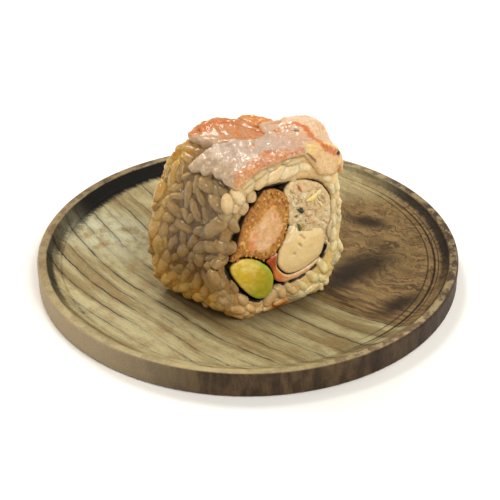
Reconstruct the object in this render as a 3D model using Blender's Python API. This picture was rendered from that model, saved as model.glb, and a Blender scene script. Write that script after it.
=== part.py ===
# An uramaki roll, rice outside and a prawn topping, standing on a round wooden board.
# Metres, +Z up. The origin is the middle of the board's underside.
# Lengths below are in millimetres and are turned into metres as each mesh is made.
import math
import random

import bmesh
import bpy
import numpy as np

MM = 0.001
GAP = 0.3

# The board: a turned disc with a shallow sunk floor inside a raised rim.
BOARD_RADIUS = 55.0
BOARD_HEIGHT = 6.8
FOOT_RADIUS = 54.2
RIM_INNER_RADIUS = 52.8
FLOOR_RADIUS = 49.3
FLOOR_HEIGHT = 4.6
GROOVE_WIDTH = 0.5
GROOVE_DEPTH = 0.35
BOARD_SEGMENTS = 64

# The roll's own frame: u runs along the cut face, s along the roll, z up from the board's floor.
ROLL_X = 5.0
ROLL_Y = -27.5
FACE_TURN = math.radians(32)
AXIS_TURN = math.radians(48)
ROLL_LENGTH = 24.0

# Outline of the packed rice under its outermost grains, at the front cut and at the back cut (u, z).
RICE_FRONT = [
    (-5.0, 0.6), (0.0, 0.35), (8.0, 0.35), (13.0, 0.6), (17.2, 2.2), (19.8, 6.0), (20.9, 12.0),
    (21.1, 18.0), (20.7, 24.0), (20.0, 30.0), (19.1, 34.5), (16.9, 38.5), (13.5, 40.2), (8.0, 40.9),
    (0.0, 40.6), (-5.0, 39.2), (-8.3, 36.5), (-10.4, 32.5), (-11.8, 27.5), (-12.7, 22.0),
    (-13.0, 15.5), (-11.8, 8.5), (-9.2, 3.8)]
RICE_BACK = [
    (-5.0, 0.6), (0.0, 0.35), (8.0, 0.35), (13.0, 0.6), (17.2, 2.2), (19.8, 6.0), (20.9, 12.0),
    (21.1, 18.0), (20.7, 24.0), (20.0, 30.0), (19.1, 34.5), (16.9, 38.5), (13.5, 40.2), (8.0, 40.9),
    (1.5, 40.4), (-3.6, 38.8), (-7.0, 35.8), (-9.4, 31.6), (-11.3, 27.0), (-12.6, 21.5),
    (-13.0, 15.5), (-11.8, 8.5), (-9.2, 3.8)]
RICE_INSET = 1.0
RICE_POINTS = 56
TOP_REFERENCE = (4.0, 41.0)

# Middle line of the seaweed sheet between the rice and the fillings (u, z).
NORI_LINE = [
    (-2.6, 35.0), (0.5, 34.95), (4.0, 34.6), (8.0, 34.2), (11.0, 33.5), (14.0, 32.2), (16.4, 29.7),
    (17.8, 26.5), (18.0, 20.0), (17.8, 14.0), (16.4, 10.0), (13.0, 7.4), (9.0, 6.0), (4.5, 5.9),
    (1.6, 5.0), (-1.2, 3.5), (-4.0, 4.5), (-7.0, 7.6), (-9.8, 12.2), (-11.5, 16.5), (-11.2, 20.5),
    (-9.4, 24.3), (-7.8, 27.4), (-6.8, 29.8), (-6.3, 32.4), (-4.9, 34.2)]
NORI_THICKNESS = 0.5
NORI_INSET = 0.6
NORI_POINTS = 60

# Outlines of the fillings, which run through the roll (u, z).
FRIED_PRAWN = [
    (0.6, 34.2), (2.4, 33.8), (4.0, 32.6), (5.2, 30.8), (5.8, 28.2), (5.9, 25.4), (5.5, 22.9),
    (4.8, 20.5), (3.9, 18.2), (2.5, 16.6), (0.8, 15.7), (-1.2, 15.5), (-3.2, 16.6), (-5.2, 17.9),
    (-7.4, 18.2), (-9.6, 17.6), (-10.2, 18.8), (-8.6, 20.4), (-7.9, 22.5), (-7.3, 25.4),
    (-6.4, 27.8), (-5.2, 29.6), (-3.6, 31.2), (-2.2, 33.0), (-0.9, 34.1)]
AVOCADO = [
    (-9.9, 15.3), (-9.3, 16.7), (-7.4, 17.2), (-5.2, 16.8), (-3.0, 15.7), (-1.2, 14.1), (0.5, 12.2),
    (1.4, 10.2), (1.6, 8.2), (1.3, 6.4), (0.2, 5.0), (-1.2, 4.4), (-3.0, 5.2), (-4.8, 6.9),
    (-6.7, 9.3), (-8.5, 12.2)]
CRAB_WRAP = [
    (-0.1, 14.4), (0.9, 12.8), (1.8, 11.0), (2.1, 9.2), (3.2, 7.6), (5.0, 6.8), (7.2, 6.7),
    (9.4, 6.9), (11.8, 7.6), (14.0, 8.8), (15.6, 10.2), (14.6, 10.3), (12.6, 9.3), (9.8, 8.6),
    (7.2, 8.4), (5.4, 9.0), (3.9, 10.5), (2.9, 12.3), (2.8, 14.2), (3.0, 15.9), (1.9, 15.7),
    (0.8, 15.2)]
CRAB_CORE = [
    (3.4, 14.0), (3.5, 12.4), (4.6, 10.6), (6.0, 9.3), (8.0, 8.9), (10.6, 9.2), (13.2, 10.2),
    (15.2, 11.4), (16.1, 13.2), (16.4, 15.6), (16.0, 18.0), (14.6, 19.4), (12.0, 19.6), (9.8, 20.0),
    (8.0, 21.2), (6.9, 22.3), (6.0, 21.0), (5.0, 18.6), (3.8, 16.4)]
SEAFOOD_SALAD = [
    (5.4, 32.6), (6.8, 33.6), (9.2, 33.4), (11.6, 32.4), (13.8, 31.3), (15.6, 29.4), (16.9, 26.8),
    (17.2, 23.0), (17.3, 18.6), (17.1, 14.6), (16.8, 14.8), (16.7, 17.4), (16.2, 19.2), (14.8, 20.0),
    (12.2, 20.1), (10.0, 20.6), (8.2, 21.8), (7.0, 23.0), (6.4, 24.4), (6.4, 27.0), (6.2, 29.0),
    (5.6, 30.9)]
CUT_BEVEL = 0.35
# Behind each cut a filling swells into the free space round it, up to this much, from this depth on.
SWELL = 1.8
SWELL_DEPTH = 3.5

# Outlines of the cooked prawns on top, in (t, s): t runs over the rice to the right from the crown.
TOP_PRAWN_FRONT = [
    (-13.4, -0.3), (-10.5, -0.7), (-7.0, -0.5), (-3.0, -0.8), (1.0, -0.5), (5.0, -0.8), (9.0, -0.6),
    (13.0, -0.8), (16.8, -0.7), (19.4, -0.3), (20.2, 1.8), (18.9, 4.5), (19.4, 7.6), (18.2, 11.0),
    (16.8, 14.2), (13.8, 15.8), (9.8, 15.6), (6.8, 15.3), (5.7, 13.2), (5.0, 10.8), (3.2, 9.2),
    (0.0, 8.6), (-3.0, 9.0), (-4.6, 11.8), (-7.0, 12.4), (-8.4, 13.9), (-10.4, 14.6), (-12.6, 15.7),
    (-13.4, 14.3), (-12.2, 12.2), (-13.0, 10.6), (-11.9, 8.2), (-13.1, 6.2), (-12.3, 4.2),
    (-13.8, 2.6), (-13.0, 1.0)]
TOP_PRAWN_BACK = [
    (-5.9, 13.2), (-4.4, 12.4), (-3.9, 11.2), (-2.6, 9.8), (0.0, 9.4), (2.6, 10.0), (4.1, 11.2),
    (4.8, 14.5), (4.8, 17.2), (4.5, 19.6), (3.9, 22.0), (3.2, 24.0), (0.8, 24.7), (-2.2, 24.3),
    (-4.6, 23.4), (-6.3, 22.6), (-7.0, 21.0), (-6.4, 19.4), (-6.9, 17.4), (-6.0, 15.4)]
TOP_PRAWN_REAR = [
    (5.3, 19.4), (5.5, 17.4), (6.8, 16.4), (9.0, 16.2), (11.0, 16.8), (11.8, 18.6), (11.0, 21.0),
    (9.2, 22.2), (7.2, 22.4), (5.6, 21.4)]
TOP_SHEET_THICKNESS = 2.0
# Swellings of the topping: thickness added, centre (t, s) and reach (t, s).
TOP_SWELLINGS = [
    (4.6, 13.2, 9.5, 4.2, 5.6),
    (0.7, -8.0, 8.0, 3.5, 6.0),
    (0.6, 0.0, 20.0, 4.5, 4.0),
    (-1.4, 19.6, 4.0, 3.4, 10.0)]
# Rings from the rim of a topping sheet to its middle: share of the outline's size, share of its thickness.
SHEET_RINGS = [(1.0, 0.55), (0.94, 0.85), (0.82, 1.0), (0.66, 1.0), (0.5, 1.0), (0.34, 1.0), (0.17, 1.0)]
SHEET_LIFT = 0.5

# The prawn's end folds down over the front right corner of the cut (u, z).
FOLDED_END = [
    (9.0, 42.4), (10.0, 40.2), (12.6, 36.6), (14.0, 34.4), (16.4, 33.6), (18.6, 33.4), (19.3, 36.0),
    (19.0, 39.0), (17.2, 41.6), (13.0, 42.8)]
FOLDED_END_FRONT = -0.8
FOLDED_END_BACK = 0.65

# Rice grains.
GRAIN_HALF = (3.6, 1.7, 1.5)
GRAIN_SPREAD = 0.12
GRAIN_SIDES = 6
GRAIN_RINGS = ((-0.78, 0.66), (0.0, 1.0), (0.78, 0.66))
GRAIN_COVER_MARGIN = 0.7
SIDE_GRAIN_STEP = 4.7
FACE_GRAIN_STEP = 4.2
GRAIN_TRIES = 7
SIDE_LEAN = 0.22
FACE_LEAN = 0.5
SEED = 20

COLOURS = {
    "board": (0.30, 0.25, 0.16),
    "rice": (0.78, 0.70, 0.55),
    "nori": (0.02, 0.025, 0.02),
    "fried_prawn": (0.62, 0.33, 0.09),
    "avocado": (0.60, 0.55, 0.08),
    "crab_stick_wrap": (0.80, 0.38, 0.16),
    "crab_stick_core": (0.78, 0.62, 0.38),
    "seafood_salad": (0.72, 0.60, 0.38),
    "prawn_topping_front": (0.85, 0.62, 0.48),
    "prawn_topping_back": (0.84, 0.48, 0.28),
    "prawn_topping_rear": (0.86, 0.50, 0.24)}
ROUGHNESS = {"board": 0.6, "nori": 0.5, "fried_prawn": 0.55}
FOOD_ROUGHNESS = 0.4

FACE_AXIS = np.array([math.cos(FACE_TURN), math.sin(FACE_TURN), 0.0])
ROLL_AXIS = np.array([-math.sin(AXIS_TURN), math.cos(AXIS_TURN), 0.0])
UP_AXIS = np.array([0.0, 0.0, 1.0])
ROLL_BASE = np.array([ROLL_X, ROLL_Y, FLOOR_HEIGHT])


def clear_scene():
    for thing in list(bpy.data.objects):
        bpy.data.objects.remove(thing, do_unlink=True)


def material(name):
    made = bpy.data.materials.new(name)
    made.use_nodes = True
    shader = made.node_tree.nodes["Principled BSDF"]
    shader.inputs["Base Color"].default_value = (*COLOURS[name], 1.0)
    shader.inputs["Roughness"].default_value = ROUGHNESS.get(name, FOOD_ROUGHNESS)
    shader.inputs["Metallic"].default_value = 0.0
    return made


def mesh_object(name, vertices, faces, collection=None):
    """A new object from millimetre vertices, with its normals made to point outwards."""
    mesh = bpy.data.meshes.new(name)
    mesh.from_pydata([tuple(float(c) * MM for c in v) for v in vertices], [], faces)
    shape = bmesh.new()
    shape.from_mesh(mesh)
    bmesh.ops.recalc_face_normals(shape, faces=shape.faces)
    shape.to_mesh(mesh)
    shape.free()
    made = bpy.data.objects.new(name, mesh)
    (collection or bpy.context.scene.collection).objects.link(made)
    return made


def finish(made, smooth_angle=40):
    made.data.materials.clear()
    made.data.materials.append(material(made.name))
    made.data.shade_smooth()
    made.data.set_sharp_from_angle(angle=math.radians(smooth_angle))
    return made


def roll_points(loop, s):
    """Points of a (u, z) loop placed at the distance s along the roll."""
    loop = np.asarray(loop, float)
    return ROLL_BASE + loop[:, :1] * FACE_AXIS + loop[:, 1:] * UP_AXIS + s * ROLL_AXIS


def dense_loop(points, steps=16):
    """A closed Catmull-Rom curve through the points."""
    p = np.array(points, float)
    count = len(p)
    out = []
    for i in range(count):
        a, b, c, d = p[i - 1], p[i], p[(i + 1) % count], p[(i + 2) % count]
        for k in range(steps):
            t = k / steps
            out.append(0.5 * (2 * b + (c - a) * t + (2 * a - 5 * b + 4 * c - d) * t ** 2
                              + (3 * b - a - 3 * c + d) * t ** 3))
    return np.array(out)


def smooth_loop(points, count):
    """The curve through the points, sampled at even distances."""
    dense = dense_loop(points)
    closed = np.vstack([dense, dense[:1]])
    length = np.r_[0.0, np.cumsum(np.linalg.norm(np.diff(closed, axis=0), axis=1))]
    at = np.linspace(0.0, length[-1], count, endpoint=False)
    return np.stack([np.interp(at, length, closed[:, 0]), np.interp(at, length, closed[:, 1])], 1)


def offset_loop(loop, distance):
    """The loop moved outwards along its normals; loops run counter-clockwise or clockwise."""
    following = np.roll(loop, -1, 0)
    along = following - np.roll(loop, 1, 0)
    normal = np.stack([along[:, 1], -along[:, 0]], 1)
    normal /= np.linalg.norm(normal, axis=1)[:, None]
    area = np.sum(loop[:, 0] * following[:, 1] - following[:, 0] * loop[:, 1])
    return loop + normal * distance * (1.0 if area > 0 else -1.0)


def inside(point, loop):
    x, y = point
    following = np.roll(loop, -1, 0)
    crosses = (loop[:, 1] > y) != (following[:, 1] > y)
    rise = np.where(crosses, following[:, 1] - loop[:, 1], 1.0)
    edge = (following[:, 0] - loop[:, 0]) * (y - loop[:, 1]) / rise + loop[:, 0]
    return np.count_nonzero(crosses & (x < edge)) % 2 == 1


def distance_to(point, loop):
    following = np.roll(loop, -1, 0)
    edge = following - loop
    share = np.clip(((point - loop) * edge).sum(1) / (edge * edge).sum(1), 0.0, 1.0)
    return np.linalg.norm(loop + edge * share[:, None] - point, axis=1).min()


def bridged(loops, closed=False):
    """Vertices and faces that join equal loops in order, capped at both ends or joined up."""
    count = len(loops[0])
    vertices = np.vstack(loops)
    faces = []
    pairs = len(loops) if closed else len(loops) - 1
    for k in range(pairs):
        a = k * count
        b = ((k + 1) % len(loops)) * count
        for i in range(count):
            j = (i + 1) % count
            faces.append((a + i, a + j, b + j))
            faces.append((a + i, b + j, b + i))
    if not closed:
        faces.append(tuple(range(count)))
        faces.append(tuple(range((len(loops) - 1) * count, len(loops) * count)))
    return vertices, faces


def applied(made):
    """Turns the object's modifiers into mesh."""
    graph = bpy.context.evaluated_depsgraph_get()
    mesh = bpy.data.meshes.new_from_object(made.evaluated_get(graph))
    made.modifiers.clear()
    made.data = mesh
    return made


def keep_largest_shell(made):
    """Drops loose scraps and the shells of sealed hollows."""
    shape = bmesh.new()
    shape.from_mesh(made.data)
    unseen = set(shape.verts)
    shells = []
    while unseen:
        stack = [unseen.pop()]
        shell = list(stack)
        while stack:
            for edge in stack.pop().link_edges:
                for vertex in edge.verts:
                    if vertex in unseen:
                        unseen.remove(vertex)
                        shell.append(vertex)
                        stack.append(vertex)
        shells.append(shell)
    shells.sort(key=len)
    for shell in shells[:-1]:
        bmesh.ops.delete(shape, geom=shell, context="VERTS")
    shape.to_mesh(made.data)
    shape.free()
    return made


def board():
    """The turned board: flat foot, rounded wall, flat rim, cove, fine groove and sunk floor."""
    lower_round = [(FOOT_RADIUS + (BOARD_RADIUS - FOOT_RADIUS) * math.sin(a), 1.1 - 1.1 * math.cos(a))
                   for a in (0.0, math.radians(45), math.radians(90))]
    profile = lower_round + [
        (BOARD_RADIUS, BOARD_HEIGHT - 0.7), (BOARD_RADIUS - 0.25, BOARD_HEIGHT - 0.2),
        (BOARD_RADIUS - 0.8, BOARD_HEIGHT), (RIM_INNER_RADIUS + 0.3, BOARD_HEIGHT - 0.1),
        (RIM_INNER_RADIUS - 0.4, BOARD_HEIGHT - 0.5), (RIM_INNER_RADIUS - 1.6, FLOOR_HEIGHT + 0.9),
        (FLOOR_RADIUS + 0.4, FLOOR_HEIGHT + 0.15), (FLOOR_RADIUS, FLOOR_HEIGHT),
        (FLOOR_RADIUS - GROOVE_WIDTH / 2, FLOOR_HEIGHT - GROOVE_DEPTH),
        (FLOOR_RADIUS - GROOVE_WIDTH, FLOOR_HEIGHT)]
    turns = [2 * math.pi * k / BOARD_SEGMENTS for k in range(BOARD_SEGMENTS)]
    loops = [np.array([(r * math.cos(a), r * math.sin(a), z) for a in turns]) for r, z in profile]
    return finish(mesh_object("board", *bridged(loops)))


def rice_section(share):
    """The bare rice's dense outline at a share of the roll's length, from front to back."""
    share = min(max(share, 0.0), 1.0)
    points = np.array(RICE_FRONT) * (1.0 - share) + np.array(RICE_BACK) * share
    return dense_loop(points)


def draped(t, s, lift):
    """A point over the rice: t to the right from the crown, s along the roll, lifted off the rice."""
    section = rice_section(s / ROLL_LENGTH)
    start = int(np.argmin(np.linalg.norm(section - TOP_REFERENCE, axis=1)))
    section = np.roll(section, -start, 0)
    closed = np.vstack([section, section[:1]])
    length = np.r_[0.0, np.cumsum(np.linalg.norm(np.diff(closed, axis=0), axis=1))]
    at = (-t) % length[-1]
    reach = 0.6
    point = [np.interp(at, length, closed[:, k]) for k in (0, 1)]
    ahead = [np.interp((at + reach) % length[-1], length, closed[:, k]) for k in (0, 1)]
    behind = [np.interp((at - reach) % length[-1], length, closed[:, k]) for k in (0, 1)]
    along = np.array(ahead) - np.array(behind)
    normal = np.array([along[1], -along[0]]) / np.linalg.norm(along)
    u, z = np.array(point) + normal * lift
    return np.array([u, s, z])


def world(point):
    u, s, z = point
    return ROLL_BASE + u * FACE_AXIS + s * ROLL_AXIS + z * UP_AXIS


def sheet_thickness(t, s):
    thickness = TOP_SHEET_THICKNESS
    for height, t0, s0, t_reach, s_reach in TOP_SWELLINGS:
        thickness += height * math.exp(-((t - t0) / t_reach) ** 2 - ((s - s0) / s_reach) ** 2)
    return thickness


def prawn_sheet(name, outline, middle, points, rings=SHEET_RINGS):
    """A prawn half lying on the rice: a disc of rings, thick in the middle, thinner at its rim."""
    rim = smooth_loop(outline, points)
    middle = np.array(middle)
    upper = []
    lower = []
    for share, thick in rings:
        ring = middle + (rim - middle) * share
        upper.append(np.array([world(draped(t, s, SHEET_LIFT + thick * sheet_thickness(t, s))) for t, s in ring]))
        lower.append(np.array([world(draped(t, s, SHEET_LIFT)) for t, s in ring]))
    loops = upper[::-1] + lower
    vertices, faces = bridged(loops)
    faces = faces[:-2]
    top = world(draped(*middle, SHEET_LIFT + sheet_thickness(*middle)))
    bottom = world(draped(*middle, SHEET_LIFT))
    vertices = np.vstack([vertices, top, bottom])
    top_index = len(vertices) - 2
    bottom_index = len(vertices) - 1
    last = (len(loops) - 1) * points
    for i in range(points):
        j = (i + 1) % points
        faces.append((j, i, top_index))
        faces.append((last + i, last + j, bottom_index))
    return mesh_object(name, vertices, faces)


def front_prawn():
    """The front prawn, joined to the end of it that folds down over the corner of the cut."""
    sheet = prawn_sheet("prawn_topping_front", TOP_PRAWN_FRONT, (3.2, 3.4), 50)
    loop = smooth_loop(FOLDED_END, 24)
    centre = loop.mean(0)
    depth = FOLDED_END_BACK - FOLDED_END_FRONT
    loops = [
        roll_points(centre + (loop - centre) * 0.8, FOLDED_END_FRONT),
        roll_points(loop, FOLDED_END_FRONT + 0.4 * depth),
        roll_points(loop, FOLDED_END_BACK)]
    fold = mesh_object("folded_end", *bridged(loops))
    join = sheet.modifiers.new("join", "BOOLEAN")
    join.operation = "UNION"
    join.solver = "EXACT"
    join.object = fold
    applied(sheet)
    bpy.data.objects.remove(fold, do_unlink=True)
    return finish(keep_largest_shell(sheet))


def grain_points(centre, along, across, out, half):
    """The corners of one faceted grain, tip to tip."""
    points = [centre - along * half[0]]
    for position, width in GRAIN_RINGS:
        for k in range(GRAIN_SIDES):
            a = 2 * math.pi * k / GRAIN_SIDES
            points.append(centre + along * half[0] * position
                          + across * half[1] * width * math.cos(a) + out * half[2] * width * math.sin(a))
    points.append(centre + along * half[0])
    return np.array(points)


def grain_faces():
    n = GRAIN_SIDES
    rings = len(GRAIN_RINGS)
    tip = 1 + n * rings
    faces = [(0, 1 + (k + 1) % n, 1 + k) for k in range(n)]
    for ring in range(rings - 1):
        a = 1 + ring * n
        for k in range(n):
            j = (k + 1) % n
            faces.append((a + k, a + j, a + n + j, a + n + k))
    last = 1 + (rings - 1) * n
    faces += [(last + k, last + (k + 1) % n, tip) for k in range(n)]
    return faces


def to_roll_frame(points):
    """World millimetres to (u, s, z) of the roll."""
    frame = np.stack([FACE_AXIS, ROLL_AXIS, UP_AXIS], 1)
    return np.linalg.solve(frame, (np.asarray(points) - ROLL_BASE).T).T


def oriented(rng, spot, lean_most):
    """A grain lying in the plane of a spot's first two directions, turned in it and leaning out of it."""
    centre, first, second, normal = spot
    turn = rng.uniform(0.0, math.pi)
    lean = rng.uniform(-lean_most, lean_most)
    along = first * math.cos(turn) + second * math.sin(turn)
    along = along * math.cos(lean) + normal * math.sin(lean)
    along /= np.linalg.norm(along)
    across = np.cross(normal, along)
    across /= np.linalg.norm(across)
    out = np.cross(along, across)
    half = [h * (1.0 + rng.uniform(-GRAIN_SPREAD, GRAIN_SPREAD)) for h in GRAIN_HALF]
    return grain_points(centre, along, across, out, half)


def side_spots(rng):
    """Places of the grains round the roll's outside: centre, two directions in the surface, normal."""
    section = rice_section(0.5)
    around = np.linalg.norm(np.diff(np.vstack([section, section[:1]]), axis=0), axis=1).sum()
    columns = int(around / SIDE_GRAIN_STEP)
    rows = int((ROLL_LENGTH - 2.0) / SIDE_GRAIN_STEP) + 1
    spots = []
    for row in range(rows):
        for column in range(columns):
            t = (column + 0.5 * (row % 2)) * around / columns - around / 2 + rng.uniform(-0.7, 0.7)
            s = 2.2 + row * (ROLL_LENGTH - 4.4) / (rows - 1) + rng.uniform(-0.5, 0.5)
            centre = world(draped(t, s, -0.1))
            beside = world(draped(t + 0.5, s, -0.1)) - centre
            first = beside / np.linalg.norm(beside)
            normal = np.cross(ROLL_AXIS, first)
            normal /= np.linalg.norm(normal)
            if normal @ (world(draped(t, s, 1.0)) - centre) < 0:
                normal = -normal
            spots.append((centre, first, ROLL_AXIS, normal))
    return spots


def face_spots(rng):
    """Places of the grains that show at the two cuts, in the rice round the seaweed."""
    hole = offset_loop(smooth_loop(NORI_LINE, 80), NORI_THICKNESS / 2 + GAP)
    spots = []
    for s, share, facing in ((RICE_INSET, 0.0, -1.0), (ROLL_LENGTH - RICE_INSET, 1.0, 1.0)):
        outline = rice_section(share)
        normal = np.cross(FACE_AXIS, UP_AXIS) * -facing
        for row in range(int(40.0 / (FACE_GRAIN_STEP * 0.87)) + 1):
            z = 2.3 + row * FACE_GRAIN_STEP * 0.87
            for column in range(int(35.0 / FACE_GRAIN_STEP) + 1):
                u = -13.0 + (column + 0.5 * (row % 2)) * FACE_GRAIN_STEP
                point = np.array([u + rng.uniform(-0.6, 0.6), z + rng.uniform(-0.3, 0.6)])
                if (inside(point, outline) and distance_to(point, outline) > 0.7
                        and not inside(point, hole) and distance_to(point, hole) > 0.5):
                    spots.append((world((point[0], s, point[1])), FACE_AXIS, UP_AXIS, normal))
    return spots


def on_sheet(point, section):
    """Where a (u, z) point lies over the rice: t from the crown, and whether it is above the rice."""
    start = int(np.argmin(np.linalg.norm(section - TOP_REFERENCE, axis=1)))
    section = np.roll(section, -start, 0)
    step = np.linalg.norm(np.diff(np.vstack([section, section[:1]]), axis=0), axis=1)
    length = np.r_[0.0, np.cumsum(step)]
    nearest = int(np.argmin(np.linalg.norm(section - point, axis=1)))
    t = -length[nearest]
    if t < -length[-1] / 2:
        t += length[-1]
    return t, not inside(point, section)


def grain_is_clear(points, covers, fold_loop):
    """Whether a grain keeps off the board, the topping and the topping's folded end."""
    for u, s, z in to_roll_frame(points):
        if z < GAP + 0.02:
            return False
        if s < RICE_INSET + GAP and inside((u, z), fold_loop):
            return False
        if z > 25.0:
            t, above = on_sheet((u, z), rice_section(s / ROLL_LENGTH))
            spot = np.array([t, s])
            if above and any(inside(spot, c) or distance_to(spot, c) < GRAIN_COVER_MARGIN for c in covers):
                return False
    return True


def rice():
    """Packed rice with its outermost grains, open where the seaweed and the fillings run through."""
    rng = random.Random(SEED)
    front = smooth_loop(RICE_FRONT, RICE_POINTS)
    back = smooth_loop(RICE_BACK, RICE_POINTS)
    inset = RICE_INSET / ROLL_LENGTH
    loops = [roll_points(front * (1 - f) + back * f, f * ROLL_LENGTH) for f in (inset, 0.5, 1 - inset)]
    core = mesh_object("rice", *bridged(loops))
    fold_loop = offset_loop(smooth_loop(FOLDED_END, 40), GAP)
    heap = bpy.data.collections.new("grains")
    bpy.context.scene.collection.children.link(heap)
    faces = grain_faces()
    covers = [smooth_loop(o, 60) for o in (TOP_PRAWN_FRONT, TOP_PRAWN_BACK, TOP_PRAWN_REAR)]
    spots = [(spot, SIDE_LEAN) for spot in side_spots(rng)] + [(spot, FACE_LEAN) for spot in face_spots(rng)]
    for spot, lean_most in spots:
        for _ in range(GRAIN_TRIES):
            points = oriented(rng, spot, lean_most)
            if grain_is_clear(points, covers, fold_loop):
                mesh_object("grain", points, faces, heap)
                break
    join = core.modifiers.new("join", "BOOLEAN")
    join.operation = "UNION"
    join.operand_type = "COLLECTION"
    join.collection = heap
    join.solver = "MANIFOLD"
    applied(core)
    for grain in list(heap.objects):
        bpy.data.objects.remove(grain, do_unlink=True)
    hole = offset_loop(smooth_loop(NORI_LINE, NORI_POINTS), NORI_THICKNESS / 2 + GAP)
    cutter = mesh_object("hole", *bridged([roll_points(hole, -9.0), roll_points(hole, ROLL_LENGTH + 9.0)]))
    cutter.hide_render = True
    cutter.display_type = "WIRE"
    cut = core.modifiers.new("cut", "BOOLEAN")
    cut.operation = "DIFFERENCE"
    cut.solver = "MANIFOLD"
    cut.object = cutter
    applied(core)
    bpy.data.objects.remove(cutter, do_unlink=True)
    return finish(keep_largest_shell(core))


def nori():
    """The seaweed sheet: a thin tube between the rice and the fillings."""
    middle = smooth_loop(NORI_LINE, NORI_POINTS)
    outer = offset_loop(middle, NORI_THICKNESS / 2)
    inner = offset_loop(middle, -NORI_THICKNESS / 2)
    near = NORI_INSET
    far = ROLL_LENGTH - NORI_INSET
    loops = [roll_points(outer, near), roll_points(outer, far), roll_points(inner, far), roll_points(inner, near)]
    return finish(mesh_object("nori", *bridged(loops, closed=True)))


def filling_loops():
    return {
        "fried_prawn": smooth_loop(FRIED_PRAWN, 46),
        "avocado": smooth_loop(AVOCADO, 30),
        "crab_stick_wrap": smooth_loop(CRAB_WRAP, 36),
        "crab_stick_core": smooth_loop(CRAB_CORE, 36),
        "seafood_salad": smooth_loop(SEAFOOD_SALAD, 40)}


def swollen(name, loops, wall):
    """A filling's outline grown into the free space between it, its neighbours and the seaweed."""
    rim = loops[name]
    others = [loop for other, loop in loops.items() if other != name]
    grown = []
    for point in rim:
        free = 0.9 * (distance_to(point, wall) - GAP)
        beside = 0.4 * (min(distance_to(point, loop) for loop in others) - GAP)
        grown.append(max(0.0, min(free, beside, SWELL)))
    grown = np.array(grown)
    grown = np.minimum(grown, (np.roll(grown, 1) + grown + np.roll(grown, -1)) / 3)
    return rim + (offset_loop(rim, 1.0) - rim) * grown[:, None]


def filling(name, loops, wall, proud, border, sunk):
    """A filling that runs through the roll, its cut bevelled at the rim and sunk inside a border."""
    rim = loops[name]
    grown = swollen(name, loops, wall)
    ends = []
    for s, facing in ((-proud, 1.0), (ROLL_LENGTH + proud, -1.0)):
        ends.append([
            roll_points(grown, s + SWELL_DEPTH * facing),
            roll_points(rim, s + CUT_BEVEL * facing),
            roll_points(offset_loop(rim, -CUT_BEVEL), s),
            roll_points(offset_loop(rim, -border), s + sunk * facing)])
    return finish(mesh_object(name, *bridged(ends[0][::-1] + ends[1])))


def main():
    clear_scene()
    board()
    rice()
    nori()
    loops = filling_loops()
    wall = offset_loop(smooth_loop(NORI_LINE, 120), -NORI_THICKNESS / 2)
    filling("fried_prawn", loops, wall, 0.3, 0.9, 0.25)
    filling("avocado", loops, wall, 0.1, 0.7, 0.0)
    filling("crab_stick_wrap", loops, wall, 0.1, 0.5, 0.0)
    filling("crab_stick_core", loops, wall, 0.2, 0.7, 0.0)
    filling("seafood_salad", loops, wall, 0.2, 0.4, 0.0)
    front_prawn()
    finish(prawn_sheet("prawn_topping_back", TOP_PRAWN_BACK, (-0.8, 17.0), 30, SHEET_RINGS[:-1]))
    finish(prawn_sheet("prawn_topping_rear", TOP_PRAWN_REAR, (8.6, 19.2), 20, SHEET_RINGS[::2]))


main()
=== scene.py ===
# The looks of an uramaki roll on its round wooden board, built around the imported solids.
# Blender works in metres, +Z up. The tables below are in millimetres.
import math
import random

import bmesh
import bpy
import numpy as np
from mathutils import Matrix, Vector
from mathutils.bvhtree import BVHTree


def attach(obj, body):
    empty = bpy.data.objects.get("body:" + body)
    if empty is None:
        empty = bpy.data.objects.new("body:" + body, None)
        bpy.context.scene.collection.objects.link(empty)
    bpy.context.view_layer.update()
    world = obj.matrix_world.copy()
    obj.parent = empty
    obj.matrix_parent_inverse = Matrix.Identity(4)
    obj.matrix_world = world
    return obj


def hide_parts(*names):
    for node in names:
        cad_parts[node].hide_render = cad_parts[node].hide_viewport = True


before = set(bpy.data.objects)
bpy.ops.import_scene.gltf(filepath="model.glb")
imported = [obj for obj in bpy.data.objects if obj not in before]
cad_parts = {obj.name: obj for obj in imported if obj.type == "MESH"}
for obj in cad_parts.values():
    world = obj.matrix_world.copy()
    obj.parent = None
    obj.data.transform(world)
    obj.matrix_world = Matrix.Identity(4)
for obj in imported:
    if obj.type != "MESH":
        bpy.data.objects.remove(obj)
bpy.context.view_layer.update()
MM = 0.001

# The photograph's camera, worked out from the board's rim.
VIEW_ELEVATION = math.radians(32.54)
VIEW_DISTANCE = 0.330
VIEW_TARGET = Vector((0.00055, 0.0, 0.00506))
VIEW_FOCAL_PIXELS = 1251.4
VIEW_PIXELS = 500
SENSOR = 36.0

# The board's profile, as in the solid.
BOARD_RADIUS = 55.0
BOARD_HEIGHT = 6.8
FOOT_RADIUS = 54.2
FLOOR_RADIUS = 49.3
FLOOR_HEIGHT = 4.6
GROOVE_WIDTH = 0.5
GROOVE_DEPTH = 0.35
BOARD_TURNS = 320

# The wood's growth lines are arcs round a far point; each is (distance from it, darkness).
GRAIN_CENTRE = (105.0, 99.0)
GROWTH_LINES = [
    (118.0, 0.5), (126.0, 0.5), (134.0, 0.6), (141.5, 0.6), (149.8, 1.0), (155.0, 0.5), (159.6, 0.9),
    (164.3, 0.5), (168.3, 0.8), (172.4, 0.7), (176.4, 1.0), (180.0, 0.7), (183.0, 1.0), (187.0, 0.9),
    (191.0, 0.7), (195.0, 0.7)]

# Right of this distance the wood is brown heartwood.
HEARTWOOD_EDGE = 149.4
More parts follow.
